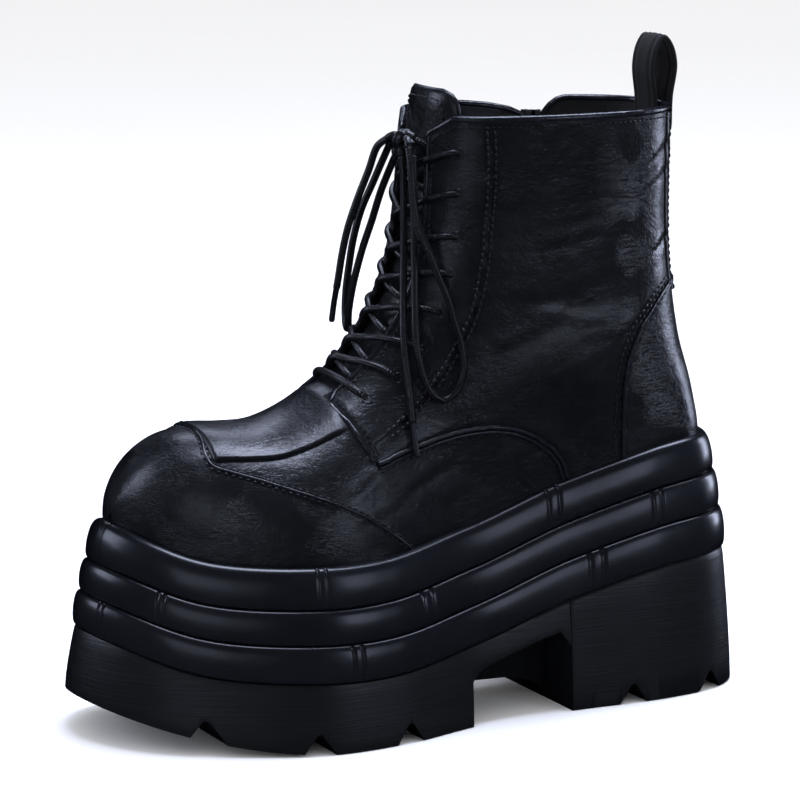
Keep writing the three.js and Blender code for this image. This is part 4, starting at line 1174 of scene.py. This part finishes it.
def build_binding():
    """The rolled binding round collar, notch and facings, with its stitch row."""
    lateral = edge_line(1, 0, THROAT_SHARE)
    medial = edge_line(-1, 0, THROAT_SHARE)
    lateral = lateral[HEEL_Y - lateral[:, 1] < 179]
    medial = medial[HEEL_Y - medial[:, 1] < 179]
    on_collar = np.arange(len(medial)) <= COLLAR_SHARE * COLUMNS
    station = HEEL_Y - medial[:, 1]
    behind = medial[on_collar & (station < NOTCH_REAR[0][0] - 1)]
    ahead = medial[~(on_collar & (station < NOTCH_AHEAD[-1][0] + 1))]
    long = np.vstack([notch_line(NOTCH_REAR)[::-1], behind[::-1], lateral[1:], facing_corner(1)])
    short = np.vstack([notch_line(NOTCH_AHEAD), ahead, facing_corner(-1)])
    parts, rows = [], []
    for run, sign in ((long, -1), (short, 1)):
        line, normals = hug(spaced(run, LINE_STEP))
        line = spaced(line, LINE_STEP)
        line, normals = hug(line)
        parts.append(tube_parts(line - normals * 0.85, 1.5, sides=12))
        rows.append(beside(line, normals, 2.9 * sign))
    joined_piece("collar_binding", parts, PIPING)
    build_stitches("binding_stitches", rows, length=2.0, gap=0.6, radius=0.3)


build_binding()

# ---------------------------------------------------------------- centre strip of the vamp
# Half width of the strip at each station, from the throat to the toe cap.
STRIP = [(180, 29), (186.8, 29.2), (197.3, 29.3), (213, 28.8), (224.6, 27.6), (235, 25.8), (240, 24.4)]
STRIP_THICK = 2.3
MEDIAL_SHARE = 0.66


def build_strip():
    """The vamp's raised centre: it runs from under the facings to the toe cap's seam. Its lateral
    edge is turned under and its medial edge is stitched down."""
    station = np.linspace(178, 237.2, 70)
    half = smooth_table(STRIP)(station)
    across = np.sin(np.sin(np.linspace(-1, 1, 61) * math.pi / 2) * math.pi / 2)
    wide = half[:, None] * np.where(across > 0, 1, MEDIAL_SHARE)[None]
    grid = np.array([[place(*top_point(share * w, s)) for share, w in zip(across, row)]
                     for s, row in zip(station, wide)])
    normal = unit(np.cross(np.gradient(grid, axis=1), np.gradient(grid, axis=0)))
    normal *= np.sign(normal[..., 2:3])
    edge = (1 - np.abs(across))[None] * wide
    rise = np.sqrt(np.clip(1 - (1 - np.clip(edge / 0.9, 0, 1)) ** 2, 0, 1))
    end = (ease(237.2, 235.6, station) * ease(180, 187, station))[:, None]
    lift = STRIP_THICK * rise * end - 0.5
    sheet = grid + normal * lift[..., None]
    faces = [tuple(f) for f in grid_faces(len(station), len(across))]
    piece("vamp_strip", sheet.reshape(-1, 3), faces, [LEATHER])
    column = int(np.argmax(edge[20] > 2.4))
    line = spaced(sheet[9:-2, column], 0.8)
    out = spaced(normal[9:-2, column], count=len(line))
    build_stitches("strip_stitches", [(line, out)], length=2.1, gap=0.7, radius=0.4)


build_strip()

# ---------------------------------------------------------------- tongue
TONGUE_HALF = 23
TONGUE_TOP = 252


def build_tongue():
    """The padded tongue: thin and narrow where it is sewn in, with a rounded top edge."""
    last = int(np.argmax(instep[:, 1] >= TONGUE_TOP))
    first = int(np.argmax(instep[:, 0] < THROAT_END + 8))
    index = np.linspace(first, last, 80)
    turn = np.linspace(0, 2 * np.pi, 72, endpoint=False)
    rings = []
    for k, i in enumerate(index):
        rise = k / (len(index) - 1)
        half = TONGUE_HALF * mix(0.86, 1.0, ease(0, 0.6, rise))
        # the top edge is round in front view and the pad thins towards every edge
        top = math.sqrt(max(0.0, 1 - max(0.0, (rise - 0.93) / 0.07) ** 2.2))
        half *= mix(0.62, 1.0, top)
        thick = mix(1.6, 2.5, ease(0, 0.3, rise)) * mix(0.35, 1.0, top)
        channel = 0.18 * math.cos(rise * 46) * ease(0.5, 0.7, rise)
        x = half * squared_off(np.cos(turn), 0.7)
        depth = mix(2.3, WALL + 3.0, ease(0.06, 0.3, rise))
        lift = -depth + (thick + channel) * squared_off(np.sin(turn), 0.6)
        rings.append(over_skin(np.full(len(turn), i), x, lift))
    faces = capped_faces(len(index), len(turn))
    made = piece("tongue_pad", np.vstack(rings), faces, [TONGUE_LEATHER])
    tidy_mesh(made, weld=0.001)
    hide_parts("tongue")
    # one stitch row follows the top edge
    turn = np.linspace(-1, 1, 60)
    across = (TONGUE_HALF - 6.5) * np.sin(turn * math.pi / 2)
    down = last - 10 - 24 * np.abs(turn) ** 5
    line = spaced(over_skin(down, across, np.full(60, -WALL - 0.75)), LINE_STEP)
    parts = stitch_parts(line, np.tile((0.0, -0.9, 0.35), (len(line), 1)), length=2.1, gap=0.7, radius=0.34)
    joined_piece("tongue_stitches", parts, THREAD)


build_tongue()

# ---------------------------------------------------------------- laces
LACE_WIDE = 3.0
EYELET_X = 24
EYELET_ROWS = [228.7, 212.3, 196.7, 183, 170.6, 158, 147.6, 138.4]
row_index = [int(np.argmax(instep[:, 1] >= z)) for z in EYELET_ROWS]
LACE_SIDES = 14


def lace(name, line, node):
    """One run of lace along a line, for a node of the solid model."""
    made = joined_piece(name, [tube_parts(line, LACE_WIDE / 2, sides=LACE_SIDES)], LACE)
    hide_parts(node)
    return made


# A strand: distance from the centre line, share of the way to the upper row, lift off the skin. It
# comes from under one facing, crosses the tongue and dives into the eyelet of the other facing.
STRAND = [(-21, 0.0, -4.2), (-15, 0.0, -3.9), (-10.5, 0.02, -1.0), (-6, 0.13, 1.0), (0, 0.32, 2.5),
          (7, 0.56, 1.7), (12.5, 0.72, 1.75), (18, 0.88, 1.65), (22, 0.98, 1.25), (24.2, 1.0, -0.6),
          (24.4, 1.0, -4.2)]


def strand_line(row, side):
    """A strand from one row of eyelets up to the next; side is where it ends."""
    clear = 0.3 if row == len(EYELET_ROWS) - 1 else 0.0
    upper = row_index[row - 1]
    lower = mix(row_index[row], upper, clear)
    x, share, lift = np.array(STRAND).T
    # at the crossing the lateral strand lies over the medial one
    over = LACE_WIDE * 0.48 * np.exp(-(x / 5) ** 2) if side > 0 else -0.9 * np.exp(-(x / 6) ** 2)
    return smooth_line(over_skin(mix(lower, upper, share), side * x, lift + over), LACE_STEP)


for row in range(1, len(EYELET_ROWS)):
    halves = [tube_parts(strand_line(row, side), LACE_WIDE / 2, sides=LACE_SIDES) for side in (1, -1)]
    crossing = joined_piece(f"lace_crossing_{row}", halves, LACE)
    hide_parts(f"lace_cross_{row}")

bar_x = np.array([-24.4, -24.2, -21.5, -14, -6, 0, 6, 14, 21.5, 24.2, 24.4])
bar_lift = np.array([-4.2, -0.6, 1.3, 1.8, 2.0, 2.1, 2.0, 1.8, 1.3, -0.6, -4.2])
bar = smooth_line(over_skin(np.full(len(bar_x), row_index[-1]), bar_x, bar_lift), LACE_STEP)
lace("lace_bar", bar, "lace_bar_bottom")

KNOT = (5, 148.2, 231.4)
for name, side, meet in (("lateral", 1, (8.8, 147.2, 232.2)), ("medial", -1, (1.5, 147.6, 232.2))):
    under = over_skin(np.array([row_index[0] + 1.0, row_index[0] + 3.0, row_index[0] + 5.0]),
                      side * np.array([17.0, 13.0, 11.4]), np.array([-4.2, -2.6, 1.4]))
    middle = mix(under[-1], place(*meet), 0.55) + np.array([0, -1.2, 0.8])
    lace(f"lace_top_{name}_strand", smooth_line(np.vstack([under, middle, place(*meet)]), LACE_STEP),
         f"lace_top_{name}")

# Routes of the bow, from the knot and back, the same as in the solid model.
LOOP_LATERAL = [
    (13.4, 150.6, 229.8), (16.4, 150.9, 221.4), (18.2, 151, 209.7), (20.7, 150.1, 200),
    (24.3, 147.4, 190.4), (27.2, 143.6, 178.6), (28.4, 141, 171.8), (29.5, 137.9, 160.6),
    (30.8, 135.8, 152.6), (32, 135.6, 141.5), (32.2, 138.5, 134.6), (31.8, 144.1, 131.3),
    (31, 149, 134.4), (30, 151.9, 140.4), (28.7, 153.9, 149.5), (26.9, 154, 157), (22.8, 152.4, 170.5),
    (17.9, 150.2, 189.5), (14.9, 149, 205.1), (13, 148.2, 219), (11.2, 147.6, 226.2)]
END_LATERAL = [
    (6.8, 150.6, 225.8), (7.6, 150.2, 219.4), (8.9, 150.6, 208.6), (12.3, 152.2, 189.3),
    (18, 155.2, 170.3), (23.8, 157.8, 155.4), (28.2, 158.4, 142), (31, 158.3, 132.2),
    (33.2, 158.3, 122.6), (34.8, 158.2, 115), (35.8, 157.6, 109.9)]
LOOP_MEDIAL = [
    (-3.8, 150.6, 229.2), (-10, 150, 223.6), (-17, 151, 213.7), (-22, 154.4, 201.1),
    (-26, 156.1, 188.6), (-29, 156.5, 178), (-31, 157, 167.5), (-31, 157.4, 158.5), (-28, 158.4, 153.2),
    (-24, 159.4, 153.1), (-20.5, 160.8, 160.2), (-18, 160, 171.5), (-16, 156.9, 185.8),
    (-14, 153.4, 198), (-11, 151, 209.5), (-7, 149.2, 218.5), (-2, 148.6, 225.4)]
END_MEDIAL = [
    (-0.6, 153, 232.2), (-5.6, 155, 228.6), (-10, 156.8, 218.6), (-14, 160, 206.4),
    (-17, 162.6, 195.3), (-20, 163.8, 184.5), (-22, 164.8, 173.3), (-24, 165.6, 164.2),
    (-24.4, 166.6, 156)]
AGLET = 14


def build_knot():
    """The bow's knot: the wrap that grips the middle, and the turns that run through it."""
    centre = place(*KNOT)
    parts = []
    turn = np.linspace(0, 2 * np.pi, 60)
    for shift, lean, wide, high in ((-1.6, 0.35, 3.1, 3.5), (1.5, 0.3, 3.2, 3.6)):
        ring = centre + np.stack([shift + lean * 3.2 * np.sin(turn), -wide * np.cos(turn),
                                  high * np.sin(turn)], axis=1)
        parts.append(tube_parts(ring, LACE_WIDE / 2, sides=LACE_SIDES, closed=True))
    for rows in ([(-7.2, 0.2, -1.6), (-4.6, 1.2, 0.8), (0, 1.6, 1.9), (4.8, 1.0, 1.2), (7.4, 0.2, -0.8)],
                 [(-6.6, 1.6, -0.4), (-3, -0.4, -1.6), (2, 0.4, -1.9), (6.4, 2.0, -1.6)],
                 [(-5.4, -0.8, 2.2), (-1, 0.2, 3.4), (3.4, 0.4, 3.4), (6.2, -1.4, 2.0)]):
        line = centre + smooth_line(np.array(rows) * (1, -1, 1), LACE_STEP)
        parts.append(tube_parts(line, LACE_WIDE / 2, sides=LACE_SIDES))
    # the runs of the bow leave the heart of the knot
    for start, after in ((LOOP_LATERAL[0], LOOP_LATERAL[1]), (LOOP_LATERAL[-1], LOOP_LATERAL[-2]),
                         (END_LATERAL[0], END_LATERAL[1]), (LOOP_MEDIAL[0], LOOP_MEDIAL[1]),
                         (LOOP_MEDIAL[-1], LOOP_MEDIAL[-2]), (END_MEDIAL[0], END_MEDIAL[1])):
        begin, leave = place(*start), place(*after)
        back = begin - (leave - begin) / np.linalg.norm(leave - begin) * 3.2
        heart = mix(back, centre, 0.6)
        bend = mix(heart, back, 0.6) + (0, 0, 0.5)
        line = smooth_line(np.array([heart, bend, mix(back, begin, 0.6), begin]), LACE_STEP)
        parts.append(tube_parts(line, LACE_WIDE / 2, sides=LACE_SIDES))
    made = joined_piece("bow_knot", parts, LACE)
    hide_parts("lace_knot")
    return made


bow_knot = build_knot()



for name, rows in (("lateral", LOOP_LATERAL), ("medial", LOOP_MEDIAL)):
    line = smooth_line(place(*np.array(rows, float).T), BOW_STEP)
    made = lace(f"bow_loop_{name}", line, f"lace_loop_{name}")

for name, rows in (("lateral", END_LATERAL), ("medial", END_MEDIAL)):
    line = smooth_line(place(*np.array(rows, float).T), BOW_STEP)
    covered = int(round(AGLET / BOW_STEP))
    made = lace(f"bow_end_{name}", line[:-covered], f"lace_end_{name}")
    tip = spaced(line[-covered - 2:], 0.4)
    share = np.linspace(0, 1, len(tip))
    radius = LACE_WIDE / 2 * (1.0 - 0.16 * ease(0, 0.1, share) - 0.25 * ease(0.94, 1.0, share))
    aglet = joined_piece(f"aglet_{name}_film", [tube_parts(tip, radius, sides=LACE_SIDES)], FILM)
    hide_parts(f"aglet_{name}")


def build_eyelets():
    """Pressed rims round the eyelets, one thin ring at each."""
    parts = []
    turn = np.linspace(0, 2 * np.pi, 28)
    for index in row_index:
        for side in (1, -1):
            middle, normal = hug(over_skin(np.array([index]), np.array([side * EYELET_X]), np.array([0.0])))
            middle, normal = middle[0], normal[0]
            first = np.cross(normal, (0, 0, 1))
            first /= np.linalg.norm(first)
            second = np.cross(normal, first)
            ring = (middle + normal * 0.05 + 1.95 * (np.cos(turn)[:, None] * first
                                                       + np.sin(turn)[:, None] * second))
            parts.append(tube_parts(ring, 0.3, sides=8, closed=True))
    joined_piece("eyelet_rims", parts, PIPING)


build_eyelets()

# ---------------------------------------------------------------- side zip
COIL_PITCH = 1.25


def build_zip():
    """The coil, its two tapes, the rolled edges of the slit and the stitches round it."""
    z = np.arange(ZIP_FOOT + 1.2, 229, COIL_PITCH / 2)
    parts = []
    turn = np.linspace(0, 2 * np.pi, 14)
    for k, height in enumerate(z):
        side = 1 if k % 2 else -1
        middle = skin_point(-1, np.array([ZIP_S + 0.45 * side]), np.array([height]))[0]
        outward = np.array([-1.0, 0, 0])
        ring = (middle + outward * (-0.9) + np.outer(np.cos(turn), np.array([0, 1.35, 0]))
                + np.outer(np.sin(turn), np.array([0.75, 0, 0.1 * side])))
        parts.append(tube_parts(ring, 0.3, sides=6, closed=True))
    joined_piece("zip_coil", parts, FILM)
    heights = np.linspace(ZIP_FOOT + 0.6, 236.5, 90)
    for name, side in (("front", 1), ("back", -1)):
        s = ZIP_S + side * np.linspace(0.9, 3.1, 6)
        sheet = np.array([skin_point(-1, s, np.full(6, h)) for h in heights]) + (1.1, 0, 0)
        faces = [tuple(f) for f in grid_faces(len(heights), 6)]
        made = piece(f"zip_tape_{name}", sheet.reshape(-1, 3), faces, [TAPE])
        thick = made.modifiers.new("thick", "SOLIDIFY")
        thick.thickness = 0.5 * MM
        thick.offset = 0
        apply_modifiers(made)
        if side > 0:
            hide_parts("zip_chain")
    lines = []
    for side in (1, -1):
        s = ZIP_S + side * (ZIP_HALF + 1.9)
        line = spaced(skin_point(-1, np.full(80, s), np.linspace(ZIP_FOOT - 2, 231, 80)), LINE_STEP)
        lines.append(hug(line))
    across = np.linspace(ZIP_S - ZIP_HALF - 1.9, ZIP_S + ZIP_HALF + 1.9, 20)
    lines.append(hug(skin_point(-1, across, np.full(20, ZIP_FOOT - 2.2))))
    build_stitches("zip_stitches", lines, **LOCK_STITCH)
    edges = []
    for side in (1, -1):
        s = ZIP_S + side * (ZIP_HALF + 0.35)
        edge = skin_point(-1, np.full(80, s), np.linspace(ZIP_FOOT, 232, 80))
        line, normals = hug(spaced(edge, LINE_STEP))
        edges.append(roll_parts(line, normals, 0.7, sink=0.75))
    joined_piece("zip_edges", edges, PIPING)


build_zip()
for node, material in (("zip_slider", METAL), ("zip_pull", METAL), ("insole", FELT)):
    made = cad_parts[node]
    made.data.materials.clear()
    made.data.materials.append(material)

# ---------------------------------------------------------------- pull loop
STRAP_HALF = 8.5
STRAP_LINE = [(35.6, 228), (35.7, 243), (37, 256), (35.2, 264.5), (32, 268.4), (28.6, 265), (26.5, 257),
              (28.4, 244), (28.7, 232)]


def build_pull_loop():
    """The strap folded over at the back of the collar."""
    line = smooth_line(STRAP_LINE, 0.8)
    ahead = unit(np.gradient(line, axis=0))
    outward = np.stack([-ahead[:, 1], ahead[:, 0]], axis=1)
    # a flat strap with rolled edges and shallow ribs along it
    turn = np.linspace(0, 2 * np.pi, 64, endpoint=False)
    wide = STRAP_HALF * squared_off(np.cos(turn), 0.45)
    thick = 0.95 * squared_off(np.sin(turn), 0.5)
    thick *= 1 + 0.3 * np.cos(wide * 2 * np.pi / 3.8)
    rings = []
    for point, out in zip(line, outward):
        side_view = point[None, :] + out[None, :] * thick[:, None]
        rings.append(place(wide, side_view[:, 0], side_view[:, 1]))
    faces = capped_faces(len(rings), len(turn))
    made = piece("pull_strap", np.vstack(rings), faces, [WEBBING])
    tidy_mesh(made, weld=0.001)
    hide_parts("pull_loop")


build_pull_loop()


# ---------------------------------------------------------------- back stay
def build_back_stay():
    """A narrow strip over the back seam, from the counter to the collar, with two stitch rows."""
    heights = np.linspace(166, 239.5, 90)
    across = np.sin(np.linspace(-1, 1, 41) * math.pi / 2)
    points = []
    for z in heights:
        half = mix(18.0, 24.5, (z - 166) / 75)
        for share in across:
            x = share * half
            side = 1 if x >= 0 else -1
            low, high = float(back_line(z)), 60.0
            for _ in range(22):
                s = (low + high) / 2
                if skin_half(side, s, z) < abs(x):
                    low = s
                else:
                    high = s
            points.append((x, high, z))
    edge = 1 - np.abs(np.tile(across, len(heights)))
    lift = 1.0 * np.sqrt(np.clip(1 - (1 - np.clip(edge / 0.05, 0, 1)) ** 2, 0, 1)) - 0.15
    base, normals = hug(place(*np.array(points).T))
    faces = [tuple(f) for f in grid_faces(len(heights), len(across))]
    piece("back_stay", base + normals * lift[:, None], faces, [LEATHER])
    grid = (base + normals * lift[:, None]).reshape(len(heights), len(across), 3)
    around = normals.reshape(len(heights), len(across), 3)
    rows = []
    for column in (6, 34):
        line = spaced(grid[:, column], LINE_STEP)
        rows.append((line, spaced(around[:, column], count=len(line))))
    build_stitches("back_stay_stitches", rows, **LOCK_STITCH)


build_back_stay()

# ---------------------------------------------------------------- floor and light
def build_stage():
    """A white floor and surroundings that light the boot but don't mirror in it."""
    mesh = bpy.data.meshes.new("floor")
    far = 9.0
    mesh.from_pydata([(-far, -far, 0), (far, -far, 0), (far, far, 0), (-far, far, 0)], [], [(0, 1, 2, 3)])
    floor = in_scene("floor", mesh)
    paper, tree, shader, where = start_material("matt white paper", **{"Roughness": 0.9})
    tone = add(tree, "ShaderNodeTexNoise", {"Vector": scaled(tree, where, (400, 400, 400)),
                                            "Scale": 1.0}).outputs[0]
    tint = add(tree, "ShaderNodeMix", {0: tone, "A": linear("#fbfbfc"), "B": linear("#f8f8f9")},
               data_type="RGBA")
    tree.links.new(tint.outputs["Result"], shader.inputs["Base Color"])
    mesh.materials.append(paper)
    floor.visible_glossy = False
    world = bpy.data.worlds.new("studio")
    bpy.context.scene.world = world
    world.use_nodes = True
    world.node_tree.nodes["Background"].inputs[0].default_value = linear("#ffffff")
    world.node_tree.nodes["Background"].inputs[1].default_value = 1.0
    world.cycles_visibility.glossy = False


def soft_box(name, location, size, glow, aim_at=(0, 0, 0.13)):
    """A soft box of the given brightness, turned to the boot."""
    data = bpy.data.lights.new(name, "AREA")
    data.shape = "RECTANGLE"
    data.size, data.size_y = size
    data.energy = glow * math.pi * size[0] * size[1]
    data.color = linear("#d9e2ff")[:3]
    made = in_scene(name, data)
    made.location = location
    made.rotation_euler = (Vector(aim_at) - made.location).to_track_quat("-Z", "Y").to_euler()


build_stage()
soft_box("top", (-0.95, 0.3, 1.1), (0.7, 0.5), 3)
soft_box("overhead", (-0.05, 0.3, 1.5), (0.5, 1.5), 11)
soft_box("toe", (-0.65, -1.15, 0.6), (0.55, 0.6), 3.4)
soft_box("front", (1.1, -1.2, 0.35), (0.7, 0.5), 1.0)
soft_box("side", (1.5, 0.8, 0.5), (0.5, 0.7), 2.0)
soft_box("rim", (-0.1, 1.3, 0.3), (0.25, 0.6), 8)

# ---------------------------------------------------------------- a box as plain numbers
bpy.context.view_layer.update()


def plain(box):
    """The box as lists of numbers."""
    return [[float(v) for v in corner] for corner in box]
